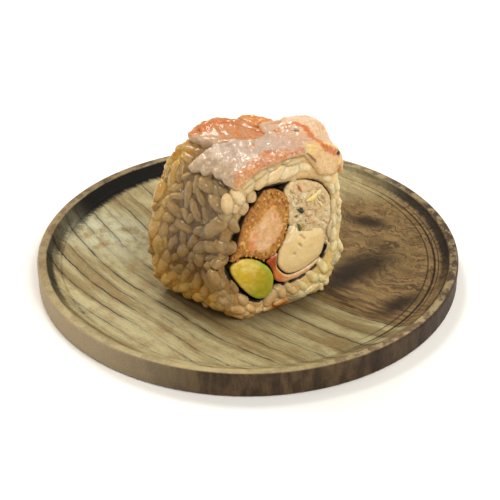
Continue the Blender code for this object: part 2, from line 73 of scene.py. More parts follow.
# Ovals on the floor: x, y, turn, half length, half width.
PALE_PATCH = (-37.0, 9.0, -35.0, 26.0, 15.0)
# Dark ovals in the brown wood: the first is partly and the last mostly painted shadow of the roll beside its right
# foot; the others are dark wood.
DARK_WOOD_AND_SHADOW_PATCHES = [
    (29.5, -7.0, 35.0, 17.0, 9.0), (38.0, -24.0, 40.0, 12.0, 4.0), (33.0, 15.0, -20.0, 9.0, 5.0),
    (24.0, -13.0, 40.0, 11.0, 6.0)]
# Painted shadow of the roll on the wood round its foot.
PAINTED_SHADOW_PATCHES = [(-4.0, -15.0, 32.0, 29.0, 23.0), (8.0, -22.0, 32.0, 20.0, 14.0)]
SCUFF = (-41.5, -26.0, -55.0, 9.0, 1.6)
# Dark stretches in the cove: direction, where it fades out and in (cosines), inner and outer radius, strength.
COVE_DARK_STRETCHES = [
    (128.0, 0.62, 0.93, 43.5, 50.5, 1.0), (165.0, 0.86, 0.98, 46.0, 52.0, 0.8),
    (188.0, 0.86, 0.99, 49.3, 52.2, 0.9), (14.0, 0.76, 0.97, 48.9, 52.0, 0.9),
    (-22.0, 0.85, 0.99, 51.8, 52.6, 0.9), (-52.0, 0.8, 0.97, 51.9, 52.8, 0.7),
    (45.0, 0.9, 0.99, 50.0, 52.6, 0.5)]
# Lines left by the turning tool: radius, half width, direction.
TOOL_LINES = [(47.2, 0.28, -2.0), (48.9, 0.42, -8.0), (49.9, 0.2, -20.0)]
WALL_JOINTS = (-98.0, -83.0, -73.0, -57.0, -41.0)

# The roll's own frame: u runs along the cut face, s along the roll, z up from the board's floor.
FACE_TURN = math.radians(32)
AXIS_TURN = math.radians(48)
FACE_AXIS = np.array([math.cos(FACE_TURN), math.sin(FACE_TURN), 0.0])
ROLL_AXIS = np.array([-math.sin(AXIS_TURN), math.cos(AXIS_TURN), 0.0])
UP_AXIS = np.array([0.0, 0.0, 1.0])
ROLL_BASE = np.array([5.0, -27.5, FLOOR_HEIGHT])
ROLL_LENGTH = 24.0

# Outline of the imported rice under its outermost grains, at the front cut and at the back cut (u, z).
RICE_FRONT = [
    (-6.2, 0.5), (0.0, 0.35), (8.0, 0.35), (13.0, 0.6), (17.2, 2.2), (19.8, 6.0), (20.9, 12.0),
    (21.1, 18.0), (20.7, 24.0), (20.0, 30.0), (19.1, 34.5), (16.9, 38.5), (13.5, 40.2), (8.0, 40.9),
    (0.0, 40.6), (-5.0, 39.2), (-8.3, 36.5), (-10.4, 32.5), (-11.8, 27.5), (-12.7, 22.0),
    (-13.0, 15.5), (-12.0, 8.5), (-10.0, 3.2)]
RICE_BACK = [(-7.4, 0.5)] + RICE_FRONT[1:14] + [
    (1.5, 40.4), (-3.6, 38.8), (-7.0, 35.8), (-9.4, 31.6), (-11.3, 27.0), (-12.6, 21.5), (-13.2, 15.5),
    (-12.7, 8.5), (-11.4, 3.2)]
RICE_INSET = 0.4

# Middle line of the seaweed sheet between the rice and the fillings (u, z).
NORI_LINE = [
    (-2.6, 35.0), (0.5, 34.95), (4.0, 34.6), (8.0, 34.2), (11.0, 33.5), (14.0, 32.2), (16.4, 29.7),
    (17.8, 26.5), (18.0, 20.0), (17.8, 14.0), (16.4, 10.0), (13.0, 7.4), (9.0, 6.0), (4.5, 5.9),
    (1.6, 5.0), (-1.2, 3.5), (-4.0, 4.5), (-7.0, 7.6), (-9.8, 12.2), (-11.5, 16.5), (-11.2, 20.5),
    (-9.4, 24.3), (-7.8, 27.4), (-6.8, 29.8), (-6.3, 32.4), (-4.9, 34.2)]
NORI_THICKNESS = 0.35
NORI_FRONT = 0.8
NORI_BACK = 23.5
# A dark seaweed disc halfway along, standing in for shade deep in the gaps beside the fillings.
# NORI_SHADE_SHEET = (11.8, 12.2)
NORI_SHADE_SHEET = (11.8, 12.2)

# Outlines of the fillings, which run through the roll (u, z).
FRIED_PRAWN = [
    (0.6, 34.2), (2.4, 33.8), (4.0, 32.6), (5.2, 30.8), (5.8, 28.2), (5.9, 25.4), (5.5, 22.9),
    (4.8, 20.5), (3.9, 18.2), (2.5, 16.6), (0.8, 15.7), (-1.2, 15.5), (-3.2, 16.6), (-5.2, 17.9),
    (-7.4, 18.2), (-9.6, 17.6), (-10.2, 18.8), (-8.6, 20.4), (-7.9, 22.5), (-7.3, 25.4),
    (-6.4, 27.8), (-5.2, 29.6), (-3.6, 31.2), (-2.2, 33.0), (-0.9, 34.1)]
AVOCADO = [
    (-9.9, 15.3), (-9.3, 16.7), (-7.4, 17.2), (-5.2, 16.8), (-3.0, 15.7), (-1.2, 14.1), (0.5, 12.2),
    (1.4, 10.2), (1.6, 8.2), (1.3, 6.4), (0.2, 5.0), (-1.2, 4.4), (-3.0, 5.2), (-4.8, 6.9),
    (-6.7, 9.3), (-8.5, 12.2)]
CRAB_WRAP = [
    (-0.1, 14.4), (0.9, 12.8), (1.8, 11.0), (2.1, 9.2), (3.2, 7.6), (5.0, 6.8), (7.2, 6.7),
    (9.4, 6.9), (11.8, 7.6), (14.0, 8.8), (15.6, 10.2), (14.6, 10.3), (12.6, 9.3), (9.8, 8.6),
    (7.2, 8.4), (5.4, 9.0), (3.9, 10.5), (2.9, 12.3), (2.8, 14.2), (3.0, 15.9), (1.9, 15.7), (0.8, 15.2)]
CRAB_CORE = [
    (3.4, 14.0), (3.5, 12.4), (4.6, 10.6), (6.0, 9.3), (8.0, 8.9), (10.6, 9.2), (13.2, 10.2),
    (15.2, 11.4), (16.1, 13.2), (16.4, 15.6), (16.0, 18.0), (14.6, 19.4), (12.0, 19.6), (9.8, 20.0),
    (8.0, 21.2), (6.9, 22.3), (6.0, 21.0), (5.0, 18.6), (3.8, 16.4)]
SEAFOOD_SALAD = [
    (5.4, 32.6), (6.8, 33.6), (9.2, 33.4), (11.6, 32.4), (13.8, 31.3), (15.6, 29.4), (16.9, 26.8),
    (17.2, 23.0), (17.3, 18.6), (17.1, 14.6), (16.8, 14.8), (16.7, 17.4), (16.2, 19.2), (14.8, 20.0),
    (12.2, 20.1), (10.0, 20.6), (8.2, 21.8), (7.0, 23.0), (6.4, 24.4), (6.4, 27.0), (6.2, 29.0),
    (5.6, 30.9)]


def rgb(red, green, blue):
    """A colour as seen on a screen (0 to 255), as linear light."""
    shares = [value / 255 for value in (red, green, blue)]
    return tuple(((x + 0.055) / 1.055) ** 2.4 if x > 10 / 255 else x / 12.92 for x in shares)


# Noise, distances and masks over arrays of points

def lattice(cell, seed):
    """A repeatable value from 0 to 1 for each whole-numbered cell."""
    mixed = (cell @ np.array([374761393, 668265263, 1274126177]) + seed * 97463477) & 0xFFFFFFFF
    mixed = ((mixed ^ (mixed >> 13)) * 1274126177) & 0xFFFFFFFF
    return ((mixed ^ (mixed >> 16)) & 0xFFFF) / 65535.0


def noise(points, size, seed=0, octaves=1):
    """Smooth noise from -1 to 1 with features about size across; size may differ along each axis."""
    total = np.zeros(len(points))
    reach = 0.0
    weight = 1.0
    place = np.asarray(points, float) / np.asarray(size, float)
    for octave in range(octaves):
        cell = np.floor(place).astype(np.int64)
        part = place - cell
        part = part * part * (3 - 2 * part)
        for corner in range(8):
            offset = np.array([corner & 1, corner >> 1 & 1, corner >> 2 & 1])
            share = np.prod(np.where(offset == 1, part, 1 - part), axis=1)
            total += weight * share * (lattice(cell + offset, seed + octave) * 2 - 1)
        reach += weight
        weight *= 0.5
        place = place * 2.03
    return total / reach


def smooth(value, low, high):
    """0 below low, 1 above high and a soft step between them; low may be the larger."""
    share = np.clip((np.asarray(value, float) - low) / (high - low), 0, 1)
    return share * share * (3 - 2 * share)


def dense_loop(points, steps=16):
    """A closed smooth curve through the outline's points."""
    given = np.array(points, float)
    before, after, beyond = np.roll(given, 1, 0), np.roll(given, -1, 0), np.roll(given, -2, 0)
    rows = []
    for k in range(steps):
        t = k / steps
        square = 2 * before - 5 * given + 4 * after - beyond
        cube = 3 * given - before - 3 * after + beyond
        rows.append(0.5 * (2 * given + (after - before) * t + square * t ** 2 + cube * t ** 3))
    return np.stack(rows, 1).reshape(-1, given.shape[1])


def even_loop(points, count):
    """That smooth curve, read at evenly spaced points."""
    curve = dense_loop(points)
    closed = np.vstack([curve, curve[:1]])
    length = np.r_[0, np.cumsum(np.linalg.norm(np.diff(closed, axis=0), axis=1))]
    at = np.linspace(0, length[-1], count, endpoint=False)
    return np.stack([np.interp(at, length, closed[:, k]) for k in range(closed.shape[1])], 1)


def offset_loop(loop, distance):
    """A loop moved sideways: outwards where distance is above zero."""
    along = np.roll(loop, -1, 0) - np.roll(loop, 1, 0)
    across = np.stack([along[:, 1], -along[:, 0]], 1)
    across /= np.linalg.norm(across, axis=1)[:, None]
    area = 0.5 * np.sum(loop[:, 0] * np.roll(loop[:, 1], -1) - np.roll(loop[:, 0], -1) * loop[:, 1])
    return loop + across * distance * math.copysign(1.0, area)


def line_distance(points, line, closed=False):
    """Distance from each point to a bent line of as many dimensions."""
    line = np.asarray(line, float)
    ends = np.vstack([line, line[:1]]) if closed else line
    best = np.full(len(points), 1e9)
    for a, b in zip(ends[:-1], ends[1:]):
        step = b - a
        share = np.clip((points - a) @ step / max(step @ step, 1e-12), 0, 1)
        best = np.minimum(best, np.linalg.norm(points - a - share[:, None] * step, axis=1))
    return best


def inside(points, loop):
    """Which (u, z) points lie inside a closed outline."""
    loop = np.asarray(loop, float)
    found = np.zeros(len(points), bool)
    for a, b in zip(loop, np.roll(loop, -1, 0)):
        crosses = (a[1] > points[:, 1]) != (b[1] > points[:, 1])
        slope = (b[0] - a[0]) / (b[1] - a[1]) if b[1] != a[1] else 0.0
        found ^= crosses & (points[:, 0] < a[0] + slope * (points[:, 1] - a[1]))
    return found


# The roll's frame

def to_world(places):
    """(u, s, z) in millimetres to a place in metres."""
    places = np.asarray(places, float)
    u, s, z = (places[:, k:k + 1] for k in range(3))
    return (ROLL_BASE + u * FACE_AXIS + s * ROLL_AXIS + z * UP_AXIS) * MM


TO_ROLL = np.linalg.inv(np.stack([FACE_AXIS, ROLL_AXIS, UP_AXIS], 1))


def to_roll(points):
    """Places in metres to (u, s, z) in millimetres."""
    return (np.asarray(points) / MM - ROLL_BASE) @ TO_ROLL.T


def set_at(section, s):
    """A (u, z) outline at a place s along the roll, in metres."""
    return to_world(np.stack([section[:, 0], np.full(len(section), s), section[:, 1]], 1))


def rice_outline(s):
    """The bare rice's outline at a place along the roll, from front to back."""
    share = min(max(s / ROLL_LENGTH, 0.0), 1.0)
    return np.array(RICE_FRONT) * (1 - share) + np.array(RICE_BACK) * share


# Meshes

def mesh_object(name, vertices, faces):
    """A mesh object from places in metres, with its faces turned outwards."""
    mesh = bpy.data.meshes.new(name)
    mesh.from_pydata([tuple(v) for v in vertices], [], [tuple(f) for f in faces])
    made = bpy.data.objects.new(name, mesh)
    bpy.context.scene.collection.objects.link(made)
    shell = bmesh.new()
    shell.from_mesh(mesh)
    bmesh.ops.recalc_face_normals(shell, faces=shell.faces)
    shell.to_mesh(mesh)
    shell.free()
    mesh.shade_smooth()
    return made


def bridged(loops, closed=False):
    """Vertices and faces of loops joined one to the next, capped at both ends or joined into a ring."""
    count = len(loops[0])
    faces = []
    for k in range(len(loops) if closed else len(loops) - 1):
        first, second = k * count, (k + 1) % len(loops) * count
        for i in range(count):
            j = (i + 1) % count
            faces.append((first + i, first + j, second + j, second + i))
    if not closed:
        last = (len(loops) - 1) * count
        faces += [tuple(range(count))[::-1], tuple(range(last, last + count))]
    return np.vstack(loops), faces


def joined(parts):
    """Several (vertices, faces) as one."""
    vertices = []
    faces = []
    start = 0
    for points, sides in parts:
        vertices.append(points)
        faces += [tuple(start + i for i in side) for side in sides]
        start += len(points)
    return np.vstack(vertices), faces


def applied(made):
    """Writes an object's modifiers into its mesh."""
    bpy.context.view_layer.update()
    seen = made.evaluated_get(bpy.context.evaluated_depsgraph_get())
    mesh = bpy.data.meshes.new_from_object(seen)
    made.modifiers.clear()
    made.data = mesh
    mesh.name = made.name
    mesh.shade_smooth()
    return made


def main_shell(made):
    """Drops every loose scrap and sealed hollow, and keeps the largest closed skin."""
    shell = bmesh.new()
    shell.from_mesh(made.data)
    shell.verts.ensure_lookup_table()
    unseen = set(shell.verts)
    islands = []
    while unseen:
        queue = [unseen.pop()]
        island = list(queue)
        while queue:
            for edge in queue.pop().link_edges:
                for vert in edge.verts:
                    if vert in unseen:
                        unseen.discard(vert)
                        queue.append(vert)
                        island.append(vert)
        islands.append(island)
    islands.sort(key=len)
    for island in islands[:-1]:
        bmesh.ops.delete(shell, geom=island, context="VERTS")
    shell.to_mesh(made.data)
    shell.free()
    made.data.shade_smooth()
    return made


def melted(made, voxel, rounds, strength=0.5):
    """Overlapping closed shapes fused into one even skin, then softened."""
    fuse = made.modifiers.new("fuse", "REMESH")
    fuse.mode = "VOXEL"
    fuse.voxel_size = voxel * MM
    soften = made.modifiers.new("soften", "SMOOTH")
    soften.factor = strength
    soften.iterations = rounds
    return main_shell(applied(made))


def points_of(made):
    """An object's vertices in metres and its vertex normals."""
    count = len(made.data.vertices)
    places = np.zeros(count * 3)
    made.data.vertices.foreach_get("co", places)
    normals = np.zeros(count * 3)
    made.data.vertex_normals.foreach_get("vector", normals)
    return places.reshape(-1, 3), normals.reshape(-1, 3)


def relief(made, height):
    """Lifts each vertex along its normal by a height in millimetres."""
    places, normals = points_of(made)
    moved = places + normals * np.asarray(height)[:, None] * MM
    made.data.vertices.foreach_set("co", moved.ravel())
    made.data.update()


def paint(made, colours, name="tone"):
    """Stores a colour for each vertex for the material to read."""
    layer = made.data.color_attributes.new(name, "FLOAT_COLOR", "POINT")
    rows = np.ones((len(colours), 4))
    rows[:, :3] = colours
    layer.data.foreach_set("color", rows.ravel())


def mark(made, values, name):
    """Stores a number for each vertex for the material to read."""
    layer = made.data.attributes.new(name, "FLOAT", "POINT")
    layer.data.foreach_set("value", np.asarray(values, float))


def blended(colours, mask, colour):
    """Colours moved towards one colour where the mask is near 1."""
    return colours * (1 - mask[:, None]) + np.array(colour) * mask[:, None]


# Materials

class Shader:
    """A short way to write the nodes of one material."""

    def __init__(self, name, roughness, **settings):
        self.material = bpy.data.materials.new(name)
        self.material.use_nodes = True
        self.tree = self.material.node_tree
        self.surface = self.tree.nodes["Principled BSDF"]
        self.surface.inputs["Roughness"].default_value = roughness
        for socket, value in settings.items():
            self.surface.inputs[socket.replace("_", " ")].default_value = value

    def node(self, kind, inputs=(), **settings):
        made = self.tree.nodes.new("ShaderNode" + kind)
        for key, value in settings.items():
            setattr(made, key, value)
        for socket, value in dict(inputs).items():
            self.feed(made.inputs[socket], value)
        return made

    def feed(self, socket, value):
        if isinstance(value, bpy.types.NodeSocket):
            self.tree.links.new(value, socket)
        elif isinstance(value, tuple) and len(value) == 3 and socket.type == "RGBA":
            socket.default_value = (*value, 1.0)
        else:
            socket.default_value = value

    def place(self):
        """The place on the object, in millimetres."""
        coordinates = self.node("TexCoord").outputs["Object"]
        return self.vector("SCALE", coordinates, scale=1 / MM)

    def vector(self, operation, a, b=None, scale=None):
        made = self.node("VectorMath", operation=operation)
        self.feed(made.inputs[0], a)
        if b is not None:
            self.feed(made.inputs[1], b)
        if scale is not None:
            self.feed(made.inputs["Scale"], scale)
        return made.outputs["Value" if operation in ("LENGTH", "DOT_PRODUCT", "DISTANCE") else "Vector"]

    def math(self, operation, a, b=0.0):
        made = self.node("Math", operation=operation)
        self.feed(made.inputs[0], a)
        self.feed(made.inputs[1], b)
        return made.outputs[0]

    def times(self, *values):
        total = values[0]
        for value in values[1:]:
            total = self.math("MULTIPLY", total, value)
        return total

    def noise(self, vector, scale, detail=3.0, roughness=0.5):
        made = self.node("TexNoise", {
            "Vector": vector, "Scale": scale, "Detail": detail, "Roughness": roughness})
        return made.outputs[0]

    def step(self, value, low, high, bottom=0.0, top=1.0):
        made = self.node("MapRange", interpolation_type="SMOOTHSTEP")
        for socket, number in zip(("Value", "From Min", "From Max", "To Min", "To Max"),
                                  (value, low, high, bottom, top)):
            self.feed(made.inputs[socket], number)
        return made.outputs[0]

    def mix(self, share, a, b, mode="MIX"):
        made = self.node("Mix", data_type="RGBA", blend_type=mode)
        self.feed(made.inputs[0], share)
        self.feed(made.inputs[6], a)
        self.feed(made.inputs[7], b)
        return made.outputs[2]

    def attribute(self, name, socket="Color"):
        return self.node("Attribute", attribute_name=name).outputs[socket]

    def bump(self, height, distance, strength=1.0, normal=None):
        made = self.node("Bump", {"Height": height, "Distance": distance * MM, "Strength": strength})
        if normal is not None:
            self.feed(made.inputs["Normal"], normal)
        return made.outputs["Normal"]

    def finish(self, colour, normal=None, roughness=None):
        self.feed(self.surface.inputs["Base Color"], colour)
        if normal is not None:
            self.feed(self.surface.inputs["Normal"], normal)
        if roughness is not None:
            self.feed(self.surface.inputs["Roughness"], roughness)
        return self.material


def food(name, roughness, subsurface, mottle, fine, bump,
         coat=0.0, reach=1.2, rough_spread=0.15, specular=0.5):
    """A moist food: the painted tone, mottled, with a fine uneven skin and light let in a little."""
    shader = Shader(
        name, roughness, Subsurface_Weight=subsurface, Subsurface_Radius=(1.0, 0.72, 0.45),
        Subsurface_Scale=reach * MM, Coat_Weight=coat, Coat_Roughness=0.12, Specular_IOR_Level=specular)
    place = shader.place()
    cloud = shader.noise(place, 1 / fine, 4.0, 0.6)
    tone = shader.mix(mottle, shader.attribute("tone"), shader.step(cloud, 0.3, 0.7, 0.35, 1.3), "MULTIPLY")
    skin = shader.bump(shader.noise(place, 2.2 / fine, 3.0), bump)
    gloss = shader.step(shader.noise(place, 0.6 / fine, 2.0), 0.3, 0.7, roughness - rough_spread,
                        roughness + rough_spread)
    return shader.finish(tone, skin, gloss)


def dress(made, material, slot, *nodes):
    """Gives a piece its material, puts it under the root body and hides the solids it stands for."""
    made.data.materials.clear()
    made.data.materials.append(material)
    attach(made, "root")
    if nodes:
        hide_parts(*nodes)
    return made


# The wooden board

def board_profile():
    """Radius and height from the middle of the foot over the wall and rim to the middle of the floor."""
    foot = [(r, 0.0) for r in (20.0, 40.0, 50.0, 53.0)]
    low = [(FOOT_RADIUS + (BOARD_RADIUS - FOOT_RADIUS) * math.sin(a), 1.1 - 1.1 * math.cos(a))
           for a in np.linspace(0, math.pi / 2, 6)]
    wall = [(BOARD_RADIUS, z) for z in np.linspace(1.6, BOARD_HEIGHT - 0.7, 8)]
    rim = [
        (54.93, 6.32), (54.75, 6.6), (54.5, 6.74), (54.2, 6.8), (53.8, 6.79), (53.4, 6.75), (53.1, 6.7),
        (52.8, 6.6), (52.55, 6.43), (52.3, 6.2), (52.0, 5.95), (51.6, 5.7), (51.2, 5.5), (50.7, 5.22),
        (50.2, 4.96), (49.75, 4.77), (49.4, 4.64)]
    middle = FLOOR_RADIUS - GROOVE_WIDTH / 2
    groove = [
        (FLOOR_RADIUS - 0.05, FLOOR_HEIGHT), (middle + 0.1, FLOOR_HEIGHT - GROOVE_DEPTH * 0.8),
        (middle, FLOOR_HEIGHT - GROOVE_DEPTH), (middle - 0.1, FLOOR_HEIGHT - GROOVE_DEPTH * 0.8),
        (FLOOR_RADIUS - GROOVE_WIDTH, FLOOR_HEIGHT)]
    inner = [(r, FLOOR_HEIGHT) for r in (*np.arange(48.3, 40, -0.7), *np.arange(39, 1, -2.0))]
    return foot + low + wall + rim + groove + inner


def board():
    turns = np.linspace(0, 2 * math.pi, BOARD_TURNS, endpoint=False)
    ring = np.stack([np.cos(turns), np.sin(turns), 0 * turns], 1)
    loops = [ring * radius + UP_AXIS * height for radius, height in board_profile()]
    vertices, faces = bridged(loops)
    radius = np.hypot(vertices[:, 0], vertices[:, 1])
    wear = 0.07 * noise(vertices, 5.0, 3, 3) + 0.05 * noise(vertices, 1.4, 5, 2)
    edge = smooth(radius, 46, 51) * smooth(vertices[:, 2], 0.4, 1.6)
    inwards = vertices * (1, 1, 0) / np.maximum(radius, 1)[:, None]
    vertices -= inwards * (edge * (0.09 + wear))[:, None]
    on_top = np.where(radius > 46, edge, 0.35) * smooth(vertices[:, 2], 3.0, 4.5)
    vertices[:, 2] += on_top * 0.5 * wear - 0.03 * edge
    made = mesh_object("board_wood", vertices * MM, faces)
    return dress(made, wood(), "board", "board")


def sector(shader, place, turn, low, high):
    """1 where the place lies in the direction of turn, seen from the board's middle, falling to 0."""
    angle = math.radians(turn)
    flat = shader.vector("MULTIPLY", place, (1.0, 1.0, 0.0))
    direction = shader.vector("NORMALIZE", flat)
    facing = shader.vector("DOT_PRODUCT", direction, (math.cos(angle), math.sin(angle), 0.0))
    return shader.step(facing, low, high)


def growth_lines(shader, distance, breaks):
    """Thin dark lines at the listed distances, fading in and out along their length."""
    total = 0.0
    for position, darkness in GROWTH_LINES:
        gap = shader.math("ABSOLUTE", shader.math("SUBTRACT", distance, position))
        total = shader.math("MAXIMUM", total, shader.step(gap, 0.34, 0.06, 0.0, darkness))
        total = shader.math("MAXIMUM", total, shader.step(gap, 1.5, 0.2, 0.0, darkness * 0.3))
    return shader.times(total, shader.step(breaks, 0.32, 0.52, 0.3, 1.0))


def wood():
    """Greenish khaki wood at the left and in front, brown and wavy at the right, dark in the cove, with painted
    shadow of the roll round its foot and beside its right foot.
    """
    shader = Shader("aged_wood", 0.6, Specular_IOR_Level=0.14)
    place = shader.place()
    flat = shader.vector("MULTIPLY", place, (1.0, 1.0, 0.0))
    radius = shader.vector("LENGTH", flat)
    axes = shader.node("SeparateXYZ", {"Vector": place}).outputs
    blotches = shader.noise(flat, 0.16, 5.0, 0.65)
    speckle = shader.noise(place, 2.6, 3.0, 0.7)
    figure = wood_figure(shader, flat, axes, blotches)
    colour = floor_colour(shader, flat, figure, blotches)
    colour = shader.mix(1.0, colour, shader.step(figure["fibres"], 0.28, 0.66, 0.8, 1.08), "MULTIPLY")
    colour = shader.mix(shader.times(figure["rings"], 0.95), colour, rgb(54, 38, 26))
    colour = shader.mix(tool_marks(shader, place, radius), colour, rgb(38, 29, 22))
    colour = rim_colour(shader, place, radius, colour)
    # The cove is darkened to near black, most at the back left.
    cove_dark = darkened_cove(shader, place, radius, figure, blotches)
    cove_dark = shader.times(cove_dark, shader.step(axes[2], BOARD_HEIGHT - 0.15, BOARD_HEIGHT - 0.5),
                         shader.step(radius, 53.6, 53.0))
    colour = shader.mix(cove_dark, colour, rgb(9, 7, 5))
    colour = wall_colour(shader, place, radius, colour)
    colour = shader.mix(1.0, colour, shader.step(speckle, 0.3, 0.6, 0.84, 1.06), "MULTIPLY")
    height = shader.math("SUBTRACT", shader.times(figure["fibres"], 0.5), shader.times(figure["rings"], 0.5))
    normal = shader.bump(height, 0.12)
    normal = shader.bump(speckle, 0.04, 1.0, normal)
    return shader.finish(colour, normal, shader.step(figure["fibres"], 0.3, 0.7, 0.64, 0.48))


def wood_figure(shader, flat, axes, blotches):
    """The grain: its growth lines, fibres and streaks, and where the brown heartwood lies."""
    from_centre = shader.vector("DISTANCE", flat, (*GRAIN_CENTRE, 0.0))
    bend = shader.times(shader.math("SUBTRACT", shader.noise(flat, 0.03, 0.0), 0.5), 4.0)
    ripple = shader.times(shader.math("SUBTRACT", shader.noise(flat, 0.2, 2.0), 0.5), 0.9)
    straight = shader.math("ADD", from_centre, shader.math("ADD", bend, ripple))
    heart = shader.times(shader.step(straight, HEARTWOOD_EDGE + 0.5, HEARTWOOD_EDGE - 0.3),
                         shader.step(shader.math("ADD", axes[1], shader.times(blotches, 16.0)), 46.0, 30.0))
    wild = shader.times(shader.math("SUBTRACT", shader.noise(flat, 0.09, 4.0, 0.62), 0.5), 24.0, heart,
                        shader.step(from_centre, HEARTWOOD_EDGE, HEARTWOOD_EDGE - 25.0))
    distance = shader.math("ADD", straight, wild)
    offset = shader.vector("SUBTRACT", flat, (*GRAIN_CENTRE, 0.0))
    offset_axes = shader.node("SeparateXYZ", {"Vector": offset}).outputs
    turned = shader.times(shader.math("ARCTAN2", offset_axes[1], offset_axes[0]), 165.0)
    along = shader.node("CombineXYZ", {"X": distance, "Y": turned, "Z": axes[2]}).outputs[0]
    return {
        "heart": heart,
        "fibres": shader.noise(shader.vector("MULTIPLY", along, (4.0, 0.5, 0.6)), 1.0, 4.0, 0.65),
        "streaks": shader.noise(shader.vector("MULTIPLY", along, (0.3, 0.03, 0.15)), 1.0, 5.0, 0.62),
        "bands": shader.noise(shader.vector("MULTIPLY", along, (1.0, 0.11, 0.15)), 1.0, 4.0, 0.62),
        "rings": growth_lines(shader, distance, shader.noise(along, 0.09, 3.0))}


def floor_colour(shader, flat, figure, blotches):
    light = shader.mix(shader.step(figure["streaks"], 0.38, 0.62), rgb(140, 124, 86), rgb(178, 168, 128))
    light = shader.mix(shader.step(blotches, 0.46, 0.66, 0.0, 0.55), light, rgb(146, 120, 80))
    pale = shader.times(patch(shader, flat, *PALE_PATCH), shader.step(blotches, 0.66, 0.42))
    light = shader.mix(shader.times(pale, 0.8), light, rgb(196, 196, 168))
    brown = shader.mix(shader.step(figure["bands"], 0.34, 0.6), rgb(84, 64, 42), rgb(132, 108, 70))
    brown = shader.mix(shader.step(blotches, 0.5, 0.7, 0.0, 0.5), brown, rgb(74, 56, 38))
    # Dark wood, and beside the roll's right foot painted shadow of the roll.
    for spot in DARK_WOOD_AND_SHADOW_PATCHES:
        brown = shader.mix(shader.times(patch(shader, flat, *spot), 0.9), brown, rgb(38, 28, 18))
    colour = shader.mix(figure["heart"], light, brown)
    # Painted shadow of the roll darkens the wood round its foot.
    for spot in PAINTED_SHADOW_PATCHES:
        colour = shader.mix(shader.times(patch(shader, flat, *spot), 0.8), colour, rgb(70, 58, 38))
    scuff = shader.times(patch(shader, flat, *SCUFF), shader.step(figure["fibres"], 0.42, 0.58))
    return shader.mix(shader.times(scuff, 0.8), colour, rgb(74, 56, 42))


def patch(shader, flat, x, y, turn, half_long, half_wide):
    """1 in the middle of a slanted oval on the floor, falling to 0 at its edge."""
    angle = math.radians(turn)
    offset = shader.vector("SUBTRACT", flat, (x, y, 0.0))
    along = (math.cos(angle) / half_long, math.sin(angle) / half_long, 0.0)
    across = (-math.sin(angle) / half_wide, math.cos(angle) / half_wide, 0.0)
    both = shader.node("CombineXYZ", {
        "X": shader.vector("DOT_PRODUCT", offset, along),
        "Y": shader.vector("DOT_PRODUCT", offset, across)}).outputs[0]
    return shader.step(shader.vector("LENGTH", both), 1.0, 0.15)


def darkened_cove(shader, place, radius, figure, blotches):
    """The cove darkened: black and furry at the back left, thinner at the left and the right."""
    flat = shader.vector("MULTIPLY", place, (1.0, 1.0, 0.0))
    direction = shader.vector("NORMALIZE", flat)
    hairs = shader.noise(shader.vector("ADD", shader.vector("SCALE", direction, scale=46.0),
                                       shader.vector("SCALE", flat, scale=0.12)), 1.0, 4.0, 0.7)
    uneven = shader.math("ADD", shader.times(shader.math("SUBTRACT", hairs, 0.5), 0.9),
                         shader.times(shader.math("SUBTRACT", blotches, 0.5), 0.6))
    total = 0.0
    for turn, low, high, inner, outer, amount in COVE_DARK_STRETCHES:
        depth = shader.math("ADD", shader.step(radius, inner, outer), uneven)
        zone = shader.times(sector(shader, place, turn, low, high), shader.step(depth, 0.25, 0.8), amount)
        total = shader.math("MAXIMUM", total, zone)
    return total


def tool_marks(shader, place, radius):
    """The dark lines of the turning tool at the right."""
    total = 0.0
    for position, half, turn in TOOL_LINES:
        gap = shader.math("ABSOLUTE", shader.math("SUBTRACT", radius, position))
        line = shader.times(shader.step(gap, half, half * 0.3), sector(shader, place, turn, 0.45, 0.85))
        total = shader.math("MAXIMUM", total, line)
    return shader.times(total, 0.85)


def rim_colour(shader, place, radius, colour):
    flecks = shader.noise(place, 0.34, 5.0, 0.68)
    tone = shader.mix(shader.step(flecks, 0.4, 0.56), rgb(110, 88, 68), rgb(168, 152, 114))
    tone = shader.mix(shader.times(sector(shader, place, -120, 0.4, 0.85), 0.6), tone, rgb(178, 164, 122))
    tone = shader.mix(shader.times(sector(shader, place, 165, 0.6, 0.95), 0.5), tone, rgb(120, 98, 72))
    dark = shader.step(flecks, 0.62, 0.42, 0.35, 1.0)
    tone = shader.mix(shader.times(sector(shader, place, 8, 0.55, 0.95), dark, 0.95), tone, rgb(64, 50, 42))
    tone = shader.mix(shader.times(sector(shader, place, 132, 0.9, 0.98), dark, 0.8), tone, rgb(74, 58, 48))
    return shader.mix(shader.times(shader.step(radius, 52.4, 53.0), 0.92), colour, tone)


def wall_colour(shader, place, radius, colour):
    stripes = shader.noise(shader.vector("MULTIPLY", place, (0.3, 0.3, 0.1)), 1.0, 5.0, 0.65)
    tone = shader.mix(shader.step(stripes, 0.38, 0.64), rgb(56, 42, 30), rgb(90, 72, 49))
    tone = shader.mix(shader.times(sector(shader, place, -160, 0.45, 0.98), 0.95), tone, rgb(168, 150, 120))
    tone = shader.mix(shader.times(sector(shader, place, -25, 0.7, 1.0), 0.5), tone, rgb(60, 48, 42))
    for turn in WALL_JOINTS:
        joint = shader.times(sector(shader, place, turn, 0.9998, 0.99998), 0.35)
        tone = shader.mix(joint, tone, rgb(34, 26, 20))
    return shader.mix(shader.step(radius, 54.35, 54.75), colour, tone)


# Rice

GRAIN_HALF = (3.6, 1.85, 1.4)
GRAIN_ROUND = 14
GRAIN_RINGS = 9
# How often a random grain is tried, and the least distance between the middles of two grains.
SIDE_TRIES = 5200
FACE_TRIES = 3000
SIDE_SPACING = 2.7
FILL_IN_SPACING = 2.5
FACE_SPACING = 2.1


